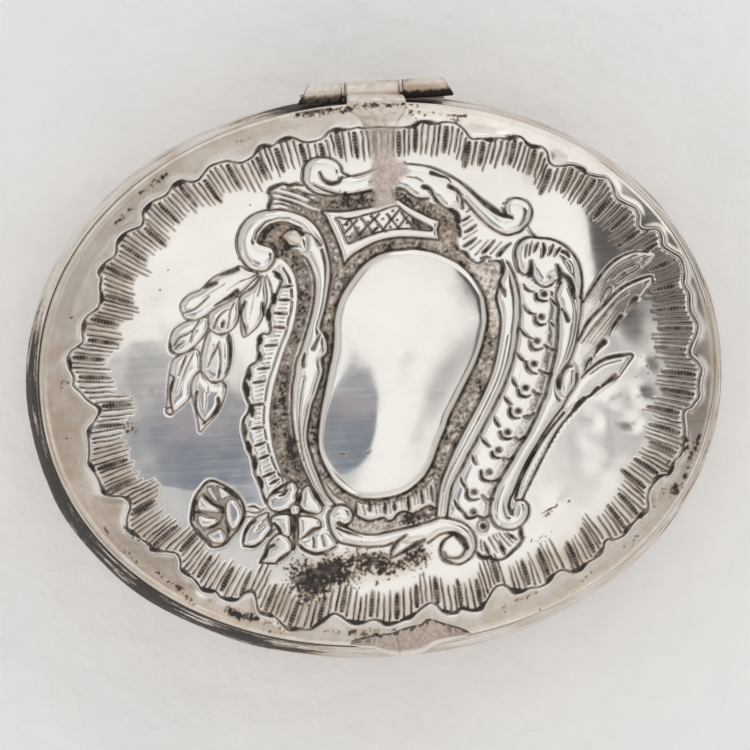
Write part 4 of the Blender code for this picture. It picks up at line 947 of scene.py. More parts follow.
def draw_flowers():
    """The rosette at the lower left and the flower beside it."""
    pillow(ROSETTE, 0.2, 8, 0.0)
    stain([(x + 0.1 * (218 - x), y + 0.1 * (515 - y)) for x, y in ROSETTE], 2, INK, 0.42)
    for lobe in ROSETTE_LOBES:
        clear(lobe, 0.8, INK, 0.95)
        pillow(lobe, 0.2, 5, 0.06)
    for lobe in ROSETTE_LOBES:
        line(lobe, 1.0, 0.06, 0.75, closed=True)
    strokes([
        ([1.8, 2.4, 2.0, 2.8, 2.2], (203, 494), (210.4, 501.5), (217, 506), (222.6, 508), (222.8, 513)),
        ([1.8, 2.0, 0.8], (194, 512), (200, 512.5), (207, 515)),
        ([2.0, 2.2, 2.0, 1.4], (203, 530), (212.5, 526.5), (219.6, 522), (222.6, 516)),
        ([1.8, 2.4, 2.2], (226, 521), (228.4, 530), (227.5, 537)),
        ([2.4, 3.0, 2.4], (225, 489), (231, 493), (238, 499)), ([1.4, 1.8, 1.6], (196, 500), (194, 510), (194, 520)),
        ([2.2, 2.6, 2.0], (197, 529), (203, 537), (211, 544)),
        ([1.0, 1.6, 1.2], (248, 507), (254, 506.5), (260, 509)), ([1.0, 1.0], (246, 517), (254, 517)),
        ([0.9, 1.2, 1.2], (246, 511), (256, 513), (264, 509)),
    ])
    line(ROSETTE, 1.7, 0.1, 0.86, closed=True)
    for petal in PETALS[:6]:
        pillow(petal, 0.2, 5, 0.02)
    for petal in PETALS[:6]:
        line(petal, 1.05, 0.06, 0.8, closed=True)
    pillow(PETALS[6], 0.12, 5, 0.0)
    heart = ring_points(294.7, 510, 5.8, 14)
    pillow(heart, 0.3, 5, 0.12)
    line(heart, 1.3, 0.08, 0.8, closed=True)
    line([(298.6, 492.4), (300.2, 494), (300.6, 497), (298.8, 499.6), (297, 497), (297.2, 494)], 0.9, 0.05, 0.7,
         closed=True)
    strokes([
        ([2.2, 2.6, 1.6], (289, 510), (285, 511), (279, 513)),
        ([1.6, 1.8, 1.4], (301, 511), (307, 513), (314, 514.5)),
        ([4.0, 4.2, 3.0, 2.4, 2.4, 1.8], (294.7, 519), (294.6, 526), (294.2, 532), (294.3, 539), (295, 545),
         (293.6, 550)), ([1.2, 1.6, 1.4], (313, 537), (314.4, 541), (313.6, 547)),
        ([1.2, 1.6, 1.4], (322, 535), (323.6, 540), (325, 546)),
        ([1.6, 2.6, 1.6], (274.4, 523), (277.6, 527.5), (281, 533)),
        ([0.8, 2.0, 2.8, 1.2], (300, 539.4), (306, 535.5), (313, 529.7), (321, 527)),
        ([1.6, 2.8, 1.4], (313, 490), (317, 496), (321, 503)),
        ([2.8, 2.6, 2.0, 1.4], (254.8, 521), (249.4, 525), (245, 533), (243, 543)),
        ([1.6, 2.2, 1.4], (244, 546), (254, 546.5), (263, 541)),
        ([2.8, 2.4, 1.8, 2.0], (274, 545), (268.4, 548), (265.7, 555.7), (260.5, 562)),
        ([1.2, 3.0, 3.0, 1.2], (291, 551), (286, 555), (281, 558.5), (275.5, 563)),
        ([2.0, 2.4, 1.2], (268, 536), (271, 533), (275, 529)),
        ([1.8, 2.6, 1.8], (298.8, 494), (298.9, 497), (298.6, 501)),
        ([1.0, 2.0, 1.0], (279, 496), (284, 494), (288, 489)),
        ([1.8, 2.6, 1.8, 0.8], (270, 495), (275, 491), (281, 487), (285, 484)), ([1.2, 1.4], (260, 563), (277, 564)),
        ([1.4, 2.4, 2.6, 2.4, 1.4], (297, 543.3), (305, 550), (315.6, 553.8), (326, 551.7), (335.6, 546.6)),
        ([0.7, 0.4], (258, 527), (267, 519)), ([0.7, 0.4], (256, 531), (266, 524)),
        ([0.7, 0.4], (262, 521), (269, 516)),
    ])


# The edges of the two upper reeds, for their fine lines
REED_ONE = [(583, 304), (594, 287), (604, 273), (617, 261), (633, 254), (647, 254)]
REED_ONE_LOW = [(582, 322), (596, 306), (608, 294), (622, 281), (636, 272), (647, 260)]
REED_TWO = [(579, 345), (589, 325), (604, 308), (620, 292), (636, 283), (650, 279)]
REED_TWO_LOW = [(584, 368), (594, 354), (606, 338), (618, 321), (632, 304), (648, 284)]
# The reeds: outline, height and shoulder
REEDS = [
    ([(583, 302), (594, 285), (604, 271), (617, 259), (633, 252), (648, 252), (654, 256), (641, 270), (626, 281),
      (612, 294), (600, 307), (588, 321), (580, 333), (580, 318)], 0.09, 8),
    ([(578, 342), (588, 322), (603, 306), (619, 290), (635, 281), (651, 276), (654, 279), (642, 294), (630, 310),
      (618, 324), (606, 341), (594, 358), (585, 371), (574, 372), (572, 358)], 0.12, 9),
    ([(576, 384), (588, 371), (605, 359), (624, 354), (634, 355), (627, 367), (616, 380), (602, 390), (588, 399),
      (575, 409), (566, 418), (564, 406), (570, 396)], 0.12, 8),
    ([(566, 411), (574, 402), (587, 396), (578, 407), (566, 420), (556, 433), (546, 452), (536, 470), (528, 488),
      (523, 498), (517, 497), (521, 480), (530, 461), (540, 443), (552, 427)], 0.2, 4, 0.0)]
# The beads along the stalk of the lowest reed
REED_BEADS = [(579, 402), (559, 427), (545, 449), (531, 474), (520, 496)]


def draw_reeds():
    """The three reeds at the right and the beaded stalk."""
    for reed in REEDS:
        pillow(*reed)
    strokes([
        ([1.4, 2.2, 2.2, 1.8, 1.4], (583, 302), (594, 285), (604, 271), (617, 259), (633, 252), (648, 252)),
        ([1.4, 2.2, 2.4, 2.2, 2.4, 1.6], (578, 341), (588, 322), (603, 306), (619, 290), (635, 281), (651, 276),
         (653, 281)), ([0.7, 0.9, 0.6], (581, 343), (592, 330), (603, 317), (615, 303), (628, 293)),
        ([1.2, 1.8, 2.8, 2.6, 1.4, 0.9], (581, 378), (590, 369), (605, 359), (624, 355), (633, 355), (628, 364),
         (621, 374)), ([0.7, 0.9, 0.6], (590, 374), (604, 365), (622, 360)),
        ([1.0, 1.3, 1.2], (620, 376), (600, 388), (583, 401), (568, 416)),
        ([1.4, 1.6, 1.8, 1.4], (564, 412), (552, 427), (540, 444), (529, 463), (520, 482), (515, 498)),
        ([1.6, 1.8, 1.8, 1.6], (588, 396), (576, 409), (563, 423), (552, 440), (541, 461), (531, 481), (523, 498)),
        ([0.8, 1.0, 0.8], (612, 279), (621, 271), (631, 266), (638, 264), (639, 268), (628, 275), (616, 283)),
        ([0.8, 1.2, 0.8], (602, 300), (606, 290), (611, 287), (611, 292), (604, 302)),
        ([1.0, 2.2], (621, 276), (625, 273)), ([0.7, 0.8], (606, 281), (616, 272), (630, 264), (640, 259)),
        ([4.0, 3.4, 1.6, 0.8], (636, 298), (632, 302), (629, 307), (626, 313)),
        ([3.6, 3.0, 1.8, 0.8], (621, 316), (617, 321), (613, 327), (609, 335)),
        ([4.4, 3.6, 1.8, 0.8], (604, 342), (600, 346), (597, 351), (594, 356)),
        ([2.8, 2.4, 1.2, 0.7], (591, 359), (588, 362), (586, 367), (584, 371)),
        ([3.0, 2.4, 1.2], (615, 375), (609, 380), (602, 385)), ([3.2, 2.6, 1.2], (598, 388), (593, 393), (589, 397)),
        ([2.6, 2.2, 1.0], (584, 398), (578, 403), (572, 410)),
    ])
    for edge, other in ((REED_ONE, REED_ONE_LOW), (REED_TWO, REED_TWO_LOW)):
        # painted dark reflection: the band between the edges of each upper reed is darkened
        stain(ribbon(edge, other), 3, INK, 0.16)
        upper, lower = resample(edge, 40), resample(other, 40)
        for share in (0.18, 0.36, 0.54, 0.70, 0.86):
            start = int(2 + 8 * share)
            line(upper[start:-3] * (1 - share) + lower[start:-3] * share, [0.4, 0.75, 0.7, 0.4], 0.03, 0.62)
    for share in np.linspace(0.06, 0.96, 17):
        x, y = [np.interp(share, np.linspace(0, 1, 5), row) for row in np.array(REED_BEADS).T]
        dot(x, y, 1.3, -0.06, 0.0)
        dot(x + 2.2, y + 2.6, 0.9, 0.05, 0.7)


# Dark smears outside the border: from and to in degrees, share of the way out, half width, strength
RIM_SMEARS = [
    (73, 82, 0.966, 0.005, 0.7), (104, 112, 0.955, 0.006, 0.6), (126, 133, 0.965, 0.008, 0.75),
    (136, 141, 0.95, 0.008, 0.6), (161, 163.5, 0.937, 0.010, 0.7), (176, 179, 0.93, 0.012, 0.5),
    (187, 190, 0.94, 0.010, 0.6), (211, 222, 0.967, 0.009, 0.6), (224, 231, 0.955, 0.010, 0.7),
    (239.5, 246, 0.955, 0.010, 0.95), (248, 254, 0.985, 0.006, 0.6), (258, 262, 0.955, 0.007, 0.8),
    (263, 270, 0.945, 0.005, 0.7), (289, 296, 0.93, 0.008, 0.7), (304, 309, 0.965, 0.006, 0.5),
    (314, 318, 0.965, 0.007, 0.65), (327, 331, 0.975, 0.007, 0.7), (338, 343, 0.970, 0.009, 0.9)]
# Patches of black specks and of brown tarnish: outline, softness and strength. The thin black ones along the hinge,
# between y 102 and 124, are painted shadow under the tubes
BLACK_AND_SHADOW_PATCHES = [
    ([(292, 568), (306, 558), (318, 560), (330, 557), (338, 551), (352, 548), (370, 548), (386, 550), (392, 557),
      (404, 553), (416, 547), (428, 549), (432, 558), (420, 566), (406, 573), (390, 577), (372, 580), (352, 583),
      (334, 590), (322, 600), (308, 603), (298, 596), (288, 582)], 16, 1.0),
    ([(300, 570), (318, 562), (340, 560), (344, 574), (332, 586), (318, 596), (302, 590)], 8, 1.2),
    ([(344, 556), (362, 551), (380, 555), (378, 566), (360, 571), (346, 568)], 8, 1.1),
    ([(292, 112), (310, 108), (330, 106), (350, 107), (352, 112), (335, 114), (312, 117), (296, 118)], 4, 1.0),
    ([(419, 113), (425, 112), (430, 114), (425, 116)], 3, 1.0),
    ([(440, 115), (452, 113), (466, 115), (468, 118), (452, 117)], 3, 1.0),
    ([(404, 103), (409, 108), (414, 114), (418, 119), (415, 119), (408, 111)], 2, 1.0),
    ([(120, 424), (128, 418), (136, 424), (140, 432), (130, 436), (122, 432)], 5, 0.8),
    ([(672, 484), (678, 482), (680, 492), (674, 497), (669, 491)], 4, 0.95),
    ([(679, 436), (686, 434), (690, 444), (686, 454), (680, 448)], 4, 0.95),
    ([(228, 607), (238, 610), (252, 614), (262, 618), (256, 622), (240, 620), (230, 614)], 5, 1.0),
    ([(182, 591), (190, 596), (196, 604), (190, 605), (181, 597)], 5, 0.8),
    ([(338, 630), (356, 628), (374, 632), (390, 634), (398, 637), (380, 640), (356, 638), (340, 635)], 7, 0.7),
    ([(260, 618), (275, 624), (282, 630), (268, 626)], 5, 0.8),
    ([(525, 538), (536, 537), (546, 534), (552, 528), (556, 531), (546, 540), (534, 542)], 5, 0.75),
    ([(543, 513), (552, 508), (560, 505), (558, 510), (548, 516)], 4, 0.6),
    ([(283, 437), (296, 440), (300, 455), (302, 470), (296, 474), (288, 458)], 6, 1.0),
    ([(405, 514), (420, 510), (434, 512), (430, 520), (408, 526), (396, 524)], 6, 0.9),
    ([(340, 192), (360, 193), (376, 190), (377, 200), (370, 206), (344, 207)], 5, 0.95),
    ([(395, 191), (404, 192), (416, 203), (430, 213), (440, 219), (424, 213), (406, 203), (396, 198)], 4, 0.9),
    ([(666, 500), (676, 488), (684, 470), (690, 450), (694, 452), (688, 474), (678, 494)], 5, 0.8),
    ([(436, 112), (452, 117), (470, 121), (468, 124), (448, 120)], 4, 0.7),
    ([(352, 104), (380, 103), (412, 102), (418, 106), (384, 108), (356, 108)], 4, 0.8),
    ([(120, 520), (132, 530), (150, 541), (170, 548), (160, 550), (140, 541), (124, 530)], 6, 0.7),
    ([(640, 515), (655, 500), (664, 486), (667, 490), (657, 506), (646, 520)], 5, 0.6)]
BROWN_PATCHES = [
    ([(60, 210), (90, 180), (130, 150), (180, 125), (240, 105), (300, 98), (300, 112), (240, 124), (190, 142),
      (140, 172), (100, 205), (70, 240)], 16, 0.55),
    ([(45, 420), (70, 480), (110, 530), (160, 575), (220, 615), (280, 635), (280, 650), (210, 632), (140, 590),
      (90, 540), (50, 480)], 16, 0.75),
    ([(150, 545), (190, 585), (230, 608), (280, 625), (330, 622), (330, 640), (270, 640), (210, 615), (160, 575)],
     14, 0.6),
    ([(560, 545), (610, 520), (650, 480), (680, 430), (700, 440), (660, 520), (600, 570), (540, 600)], 14, 0.4),
    ([(126, 300), (150, 280), (176, 262), (170, 300), (140, 330)], 20, 0.12),
    ([(296, 566), (318, 558), (338, 552), (370, 548), (390, 555), (416, 548), (430, 556), (408, 570), (372, 580),
      (336, 588), (310, 600), (298, 590)], 10, 0.6),
    ([(104, 300), (112, 250), (140, 216), (180, 186), (230, 160), (300, 140), (300, 128), (220, 148), (170, 172),
      (128, 206), (98, 250), (88, 300)], 10, 0.2)]
# Single specks: where, and the radius in pixels
SPECKS = [
    (647, 366, 1.2), (648, 373, 1.1), (636, 377, 0.8), (641, 357, 0.8), (168, 270, 1.0), (160, 290, 1.2),
    (152, 392, 1.4), (158, 408, 1.0), (250, 205, 1.0), (668, 463, 1.8), (682, 445, 2.2), (88, 342, 1.0),
    (132, 398, 0.9), (600, 130, 1.0), (210, 600, 1.2), (505, 612, 1.0), (540, 610, 1.2), (574, 592, 1.0)]


def draw_spots():
    """Tarnish, specks, the odd mark left by wear, and painted shadow along the hinge."""
    speck = noise(0.5)
    clump = noise(5)
    black = np.zeros_like(INK)
    for low, high, share, half, amount in RIM_SMEARS:
        turns = np.linspace(low, high, 5)
        outline = [*oval_pixel(turns, share + half), *oval_pixel(turns, share - half)[::-1]]
        stain(outline, 4, black, amount)
        stain(outline, 7, WARM, min(1.0, amount + 0.2))
    # black specks, and painted shadow along the hinge
    for points, soft, amount in BLACK_AND_SHADOW_PATCHES:
        stain(points, soft, black, amount)
    spread = black * 1.25 + 0.32 * speck * (black > 0.02) + 0.1 * clump
    INK[:] = np.maximum(INK, smoothstep(0.55, 1.25, spread) * 0.92)
    for points, soft, amount in BROWN_PATCHES:
        stain(points, soft, WARM, amount)
    strokes([
        ([0.6, 1.3, 0.9], (338, 452), (342, 454), (346, 454)), ([0.6, 1.2, 0.5], (362, 454), (366, 453), (370, 451)),
        ([0.8, 1.2, 0.8], (568, 502), (570, 500)), ([0.7, 1.2, 0.6], (543, 513), (550, 509), (557, 506)),
    ], 0.01, 0.95)
    for x, y, radius in SPECKS:
        dot(x, y, radius, 0.008, 0.85)


def draw_solder():
    """Where the repair's solder has run over the ornament."""
    run = [(366, 132), (374, 148), (372, 158), (374, 168), (370, 178), (374, 190), (377, 200), (374, 208), (384, 206),
           (394, 202), (393, 190), (400, 180), (408, 172), (402, 162), (396, 158), (392, 148), (394, 138), (400, 128),
           (384, 126)]
    stain(run, 5, SOLDER, 1.0)
    lump = noise(3) * 0.02
    share = SOLDER * np.interp(GY[:, None], (140, 165), (0.45, 1.0))
    HEIGHT[:] = HEIGHT * (1 - share) + share * (blur(HEIGHT, 7) + 0.03 + lump)
    INK[:] = INK * (1 - 0.9 * share) + share * 0.06
    GRAIN[:] = GRAIN * (1 - SOLDER)
    WARM[:] = WARM * (1 - SOLDER)


# Punched grounds: outline, depth, ink, grain and warmth
GROUNDS = [
    (GROUND, 0.12, 0.47, 1.0, 0.2),
    (LEFT_BAND, 0.12, 0.58, 1.0, 0.2),
    ([(257, 242), (261, 233), (267, 226), (275, 222), (284, 221), (293, 223), (301, 228), (304, 240), (300, 248),
      (288, 246), (276, 248), (266, 245)], 0.12, 0.44, 1.0, 0.5),
    ([(440, 222), (456, 214), (461, 224), (459, 240), (464, 254), (476, 264), (470, 266), (456, 256), (442, 246)],
     0.06, 0.26, 0.9, 0.7),
    ([(320, 197), (345, 197), (368, 193), (378, 192), (378, 205), (360, 208), (340, 211), (318, 209), (306, 202)],
     0.10, 0.46, 1.0, 0.6),
    ([(396, 190), (410, 197), (430, 202), (448, 212), (450, 222), (440, 221), (424, 214), (404, 203), (396, 199)],
     0.10, 0.50, 1.0, 0.5)]
# Where the grounds are darker: outline, softness and ink
DARK_GROUNDS = [
    ([(284, 437), (296, 440), (301, 455), (304, 475), (298, 478), (288, 462)], 6, 0.85),
    ([(484, 380), (474, 402), (458, 430), (446, 460), (440, 490), (448, 466), (462, 438), (478, 406)], 5, 0.8),
    ([(350, 256), (380, 243), (420, 242), (452, 252), (476, 270), (462, 262), (436, 250), (400, 246), (366, 252)],
     5, 0.75),
    ([(320, 380), (312, 410), (309, 436), (316, 440), (320, 410), (326, 382)], 4, 0.7)]
# Where they are lighter and browner: outline, softness and the ink taken away
LIGHT_GROUNDS = [
    ([(460, 254), (482, 264), (500, 264), (498, 290), (498, 330), (490, 330), (486, 294), (472, 268)], 4, 0.3),
    ([(308, 440), (318, 470), (336, 498), (350, 512), (350, 528), (366, 530), (400, 524), (398, 518), (352, 516),
      (330, 500), (312, 470)], 4, 0.25)]
# The bed of the band of scales
SCALE_BED = ribbon(
    [(520, 284), (521, 310), (519, 335), (514, 360), (506, 385), (496, 407), (484, 430), (472, 452), (462, 472),
     (453, 494), (449, 516)],
    [(556, 290), (556, 320), (554, 350), (549, 376), (541, 402), (528, 430), (512, 457), (500, 477), (491, 497),
     (489, 512), (484, 534)])


def draw_ornament():
    """Everything inside the border, from the grounds up."""
    for points, *facts in GROUNDS:
        ground(points, *facts)
    for points, soft, amount in DARK_GROUNDS:
        stain(points, soft, INK, amount)
    for points, soft, amount in LIGHT_GROUNDS:
        box, share = soft_patch(points, soft)
        INK[box] = np.clip(INK[box] - share * amount, 0, 1)
        WARM[box] = np.clip(WARM[box] + share * 0.3, 0, 1)
    pillow(SCALE_BED, 0.2, 12, -0.02)
    draw_fans()
    draw_boss()
    draw_rails()
    draw_trellis()
    draw_scales()
    draw_scroll_marks()
    draw_leaves()
    draw_flowers()
    draw_reeds()


# The plain field: a low ridge, the line below which the left side falls, a worn patch as its place and radius,
# and dents as place, radius and height
FIELD_RIDGE = [(556, 150), (572, 176), (584, 200), (588, 225), (589, 250), (592, 275), (600, 300), (612, 326)]
FIELD_CREASE = [(28, 470), (120, 478), (190, 490), (235, 484), (300, 486), (760, 486)]
FIELD_WORN = (612, 428, 46)
FIELD_DENTS = [(612, 398, 11, 0.065), (597, 420, 10, -0.055), (640, 396, 9, 0.06), (634, 424, 9, -0.06),
               (606, 470, 14, 0.03), (646, 366, 9, 0.04), (655, 440, 10, -0.03), (560, 500, 12, 0.03),
               (470, 305, 6, 0.018), (474, 298, 5, -0.016), (150, 372, 16, -0.02), (182, 440, 14, 0.012)]


def draw_swells():
    """The low ridge, the fall at the lower left and the shallow dents of the plain field."""
    box, far, _ = near(curve(FIELD_RIDGE), 70)
    HEIGHT[box] += 0.15 * np.exp(-(far / 26) ** 2)
    below = np.maximum(GY[:, None] - np.interp(GX[None], *np.array(FIELD_CREASE).T), 0)
    HEIGHT[:] -= 0.12 * (1 - np.exp(-below / 38)) * smoothstep(330, 270, GX)[None]
    for x, y, radius, height in FIELD_DENTS:
        HEIGHT[:] += height * np.exp(-((GX[None] - x) ** 2 + (GY[:, None] - y) ** 2) / radius ** 2)


# Unevenness of the whole sheet: radius in pixels, and height in millimetres
HAMMER_MARKS = [(34, 0.022), (14, 0.008), (4, 0.0012)]


def finish_relief():
    """Grain in the punched grounds, dirt in the hollows, and hammer marks all over."""
    draw_spots()
    speck = noise(0.4) + 0.12 * noise(2.6)
    HEIGHT[:] += GRAIN * speck * 0.010
    INK[:] = np.clip(INK + GRAIN * np.clip(0.18 * speck + 0.03, -0.3, 0.45), 0, 1)
    INK[:] = INK * np.clip(0.94 + 0.10 * noise(2.2), 0.6, 1.1)
    draw_solder()
    deep = blur(HEIGHT, 2.5) - HEIGHT
    INK[:] = np.clip(np.maximum(INK, smoothstep(0.04, 0.13, deep) * 0.6), 0, 1)
    WARM[:] = np.clip(WARM + 0.42 * np.clip(blur(INK, 3.0) - 0.05, 0, 1), 0, 1)
    for radius, amount in HAMMER_MARKS:
        HEIGHT[:] += amount * noise(radius)
    gap = ((GX[None] - FIELD_WORN[0]) ** 2 + (GY[:, None] - FIELD_WORN[1]) ** 2) / FIELD_WORN[2] ** 2
    HEIGHT[:] += 0.018 * noise(7) * np.exp(-gap ** 2)
    HEIGHT[:] = blur(HEIGHT, 0.5)
    INK[:] = 0.5 * INK + 0.5 * blur(INK, 0.5)


draw_swells()
draw_border()
draw_ornament()
finish_relief()


def read(field, pixels):
    """Reads a drawn field between its samples."""
    x = np.clip((pixels[:, 0] - SHEET_LEFT) * FINE - 0.5, 0, len(GX) - 1.001)
    y = np.clip((pixels[:, 1] - SHEET_TOP) * FINE - 0.5, 0, len(GY) - 1.001)
    return between(field, x, y)


# Materials


class Nodes:
    """A short way to wire a material."""

    def __init__(self, name, world=False):
        self.owner = bpy.data.worlds.new(name) if world else bpy.data.materials.new(name)
        self.owner.use_nodes = True
        self.tree = self.owner.node_tree
        self.tree.nodes.clear()

    def put(self, socket, value):
        """Wires an output to a socket, or sets the socket to a number or a tone."""
        if hasattr(value, "is_output"):
            self.tree.links.new(value, socket)
        else:
            socket.default_value = value

    def add(self, kind, inputs=None, **facts):
        node = self.tree.nodes.new(kind)
        for key, value in facts.items():
            setattr(node, key, value)
        for key, value in (inputs or {}).items():
            self.put(node.inputs[key], value)
        return node

    def math(self, operation, a, b=0.0, c=0.0, clamp=False):
        return self.add("ShaderNodeMath", {0: a, 1: b, 2: c}, operation=operation, use_clamp=clamp).outputs[0]

    def mix(self, share, a, b):
        node = self.add("ShaderNodeMix", data_type="RGBA")
        for index, value in ((0, share), (6, a), (7, b)):
            self.put(node.inputs[index], (*value, 1.0) if isinstance(value, tuple) else value)
        return node.outputs[2]

    def ramp(self, share, stops):
        node = self.add("ShaderNodeValToRGB", {"Fac": share})
        bar = node.color_ramp
        while len(bar.elements) < len(stops):
            bar.elements.new(0.5)
        for element, (place, tone) in zip(bar.elements, stops):
            element.position = place
            element.color = (*tone, 1.0)
        return node.outputs["Color"]

    def range(self, value, low, high, out_low, out_high, **facts):
        inputs = {"Value": value, "From Min": low, "From Max": high, "To Min": out_low, "To Max": out_high}
        return self.add("ShaderNodeMapRange", inputs, **facts).outputs[0]

    def noise(self, where, scale, detail=3.0, rough=0.5, warp=0.0):
        inputs = {"Vector": where, "Scale": scale, "Detail": detail, "Roughness": rough, "Distortion": warp}
        return self.add("ShaderNodeTexNoise", inputs).outputs["Fac"]

    def finish(self, kind, inputs, output="ShaderNodeOutputMaterial"):
        """Adds the shader, wires it to the output and gives back the material or the world."""
        self.tree.links.new(self.add(kind, inputs).outputs[0], self.add(output).inputs[0])
        return self.owner


TARNISH = (0.56, 0.44, 0.33)
OLD_TARNISH = (0.31, 0.24, 0.19)
OXIDE = (0.032, 0.026, 0.023)
SOLDER_DARK = (0.50, 0.41, 0.36)
SOLDER_PALE = (0.72, 0.62, 0.56)


def silver(name, tone, rough, tarnish, dirt, fields=False, rough_skin=1.0):
    """Worn silver: warm tarnish clouds, black dirt, fine scratches and small pits.

    With fields it also reads the ink, warm and solder that paint() stores on the mesh.
    """
    m = Nodes(name)
    where = m.add("ShaderNodeTexCoord").outputs["Object"]
    cloud = m.noise(where, 160, 4, 0.6, 0.3)
    patch = m.noise(where, 520, 5, 0.65)
    fine = m.noise(where, 3200, 4, 0.6)
    stretch = m.add("ShaderNodeMapping", {"Vector": where, "Rotation": (0, 0, 0.6), "Scale": (60, 2600, 600)})
    hair = m.noise(stretch.outputs[0], 1.0, 3, 0.7)
    cross = m.add("ShaderNodeMapping", {"Vector": where, "Rotation": (0, 0, -1.1), "Scale": (90, 3300, 600)})
    hair_two = m.noise(cross.outputs[0], 1.0, 3, 0.7)
    warm = m.range(cloud, 0.42, 0.75, 0.0, tarnish)
    dark = m.range(m.math("MULTIPLY", patch, m.range(cloud, 0.35, 0.7, 0.75, 1.25)), 0.60, 0.74, 0.0, dirt)
    if fields:
        ink = m.add("ShaderNodeAttribute", attribute_name="ink").outputs["Fac"]
        stained = m.add("ShaderNodeAttribute", attribute_name="warm").outputs["Fac"]
        solder = m.add("ShaderNodeAttribute", attribute_name="solder").outputs["Fac"]
        tiny = m.noise(where, 9500, 2, 0.6)
        grit = m.math("ADD", m.math("SUBTRACT", fine, 0.5), m.math("SUBTRACT", tiny, 0.5))
        broken = m.math("MULTIPLY_ADD", grit, m.range(ink, 0.0, 0.5, 0.0, 0.42), ink)
        dark = m.math("MAXIMUM", m.math("MULTIPLY", dark, 0.6), broken, clamp=True)
        spread = m.math("MULTIPLY", stained, m.range(patch, 0.35, 0.65, 0.55, 1.1))
        warm = m.math("ADD", warm, spread, clamp=True)
    light = m.mix(m.range(fine, 0.3, 0.7, 0.0, 0.25), tone, tuple(0.93 * c for c in tone))
    base = m.mix(warm, light, TARNISH)
    base = m.mix(m.range(dark, 0.08, 0.42, 0.0, 0.78), base, OLD_TARNISH)
    base = m.mix(m.range(dark, 0.44, 0.84, 0.0, 1.0), base, OXIDE)
    metallic = m.range(dark, 0.25, 0.85, 1.0, 0.25)
    roughness = m.range(hair, 0.3, 0.8, rough - 0.02, rough + 0.04)
    roughness = m.math("ADD", roughness, m.range(patch, 0.4, 0.8, 0.0, 0.4 * rough))
    roughness = m.math("ADD", roughness, m.range(dark, 0.1, 0.7, 0.0, 0.3), clamp=True)
    if fields:
        roughness = m.math("ADD", roughness, m.math("MULTIPLY", stained, 0.12), clamp=True)
        dull = m.mix(m.range(fine, 0.35, 0.65, 0.0, 1.0), SOLDER_DARK, SOLDER_PALE)
        base = m.mix(m.math("MULTIPLY", solder, m.range(dark, 0.2, 0.7, 1.0, 0.2)), base, dull)
        roughness = m.math("ADD", roughness, m.math("MULTIPLY", solder, 0.22), clamp=True)
        metallic = m.math("MULTIPLY", metallic, m.range(solder, 0, 1, 1.0, 0.7))
    lines = m.math("ADD", m.range(hair, 0.60, 0.78, 0.0, 1.0), m.range(hair_two, 0.62, 0.80, 0.0, 0.8))
    relief = m.math("ADD", m.math("MULTIPLY", lines, -0.12), m.math("MULTIPLY", fine, 0.35))
    relief = m.math("ADD", relief, m.math("MULTIPLY", patch, 0.5))
    bump = m.add("ShaderNodeBump", {"Strength": 0.16 * rough_skin, "Distance": 0.00006, "Height": relief}).outputs[0]
    return m.finish("ShaderNodeBsdfPrincipled", {"Base Color": base, "Metallic": metallic, "Roughness": roughness,
                                                 "Normal": bump})


BRIGHT = (0.905, 0.880, 0.845)
LID_SILVER = silver("lid_silver", BRIGHT, 0.10, 0.13, 0.14, fields=True, rough_skin=0.25)
BODY_SILVER = silver("body_silver", (0.84, 0.80, 0.75), 0.22, 0.5, 0.6)
WALL_SILVER = silver("wall_silver", (0.88, 0.84, 0.79), 0.24, 0.6, 0.5, fields=True)
KNUCKLE_SILVER = silver("knuckle_silver", (0.90, 0.86, 0.81), 0.24, 0.5, 0.5, fields=True)
SOLDER_SILVER = silver("solder_silver", (0.90, 0.85, 0.80), 0.30, 0.4, 0.4, fields=True, rough_skin=4.0)
INSIDE_SILVER = silver("inside_silver", (0.86, 0.80, 0.70), 0.28, 0.6, 0.3)
# painted shade: the hinge bearer gets a dark tone and heavy dirt for the shadow in the gaps beneath the tubes
SHADED_BEARER_SILVER = silver("bearer_shaded_silver", (0.46, 0.40, 0.35), 0.30, 0.8, 0.9)
PIN_SILVER = silver("pin_silver", (0.70, 0.67, 0.62), 0.32, 0.6, 0.6)


# Meshes


def make_object(name, points, faces, material, body, nodes):
    """A piece that rides with a body and stands for CAD nodes."""
    mesh = bpy.data.meshes.new(name)
    mesh.from_pydata([tuple(p) for p in points], [], faces)
    mesh.validate()
    mesh.update()
    mesh.polygons.foreach_set("use_smooth", [True] * len(mesh.polygons))
    piece = bpy.data.objects.new(name, mesh)
    bpy.context.scene.collection.objects.link(piece)
    mesh.materials.append(material)
    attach(piece, body)
    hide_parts(*nodes)
    return piece


def paint(piece, count, **fields):
    """Stores what the silver material reads at the first points: ink, warm and solder."""
    for name in ("ink", "warm", "solder"):
        values = np.zeros(len(piece.data.vertices), np.float32)
        if name in fields:
            values[:count] = np.clip(fields[name], 0, 1)
        piece.data.attributes.new(name, "FLOAT", "POINT").data.foreach_set("value", values)


def grid_faces(rows, cols, start=0, ring=False, flip=False):
    """Quads of a grid of points stored row by row. A ring is closed along and across its rows."""
    j, i = np.mgrid[0:rows if ring else rows - 1, 0:cols if ring else cols - 1]
    near_row, far_row = j * cols, (j + 1) % rows * cols
    after = (i + 1) % cols
    quads = np.stack([near_row + i, near_row + after, far_row + after, far_row + i], -1).reshape(-1, 4)
    if flip:
        quads = quads[:, ::-1]
    return (quads + start).tolist()


def band_faces(first, second):
    """Quads between two closed rings of point numbers."""
    return list(zip(first, second, [*second[1:], second[0]], [*first[1:], first[0]]))


def slab(top, under):
    """Points and faces of a thin closed sheet, from the rows of its face and of its back."""
    rows, cols = len(top), len(top[0])
    base = rows * cols
    loop = [*range(cols), *range(2 * cols - 1, base, cols), *range(base - 2, base - cols - 1, -1),
            *range(base - 2 * cols, 0, -cols)]
    sides = [(a, b, b + base, a + base) for a, b in zip(loop, loop[1:] + loop[:1])]
    return np.vstack(top + under), grid_faces(rows, cols, flip=True) + grid_faces(rows, cols, base) + sides


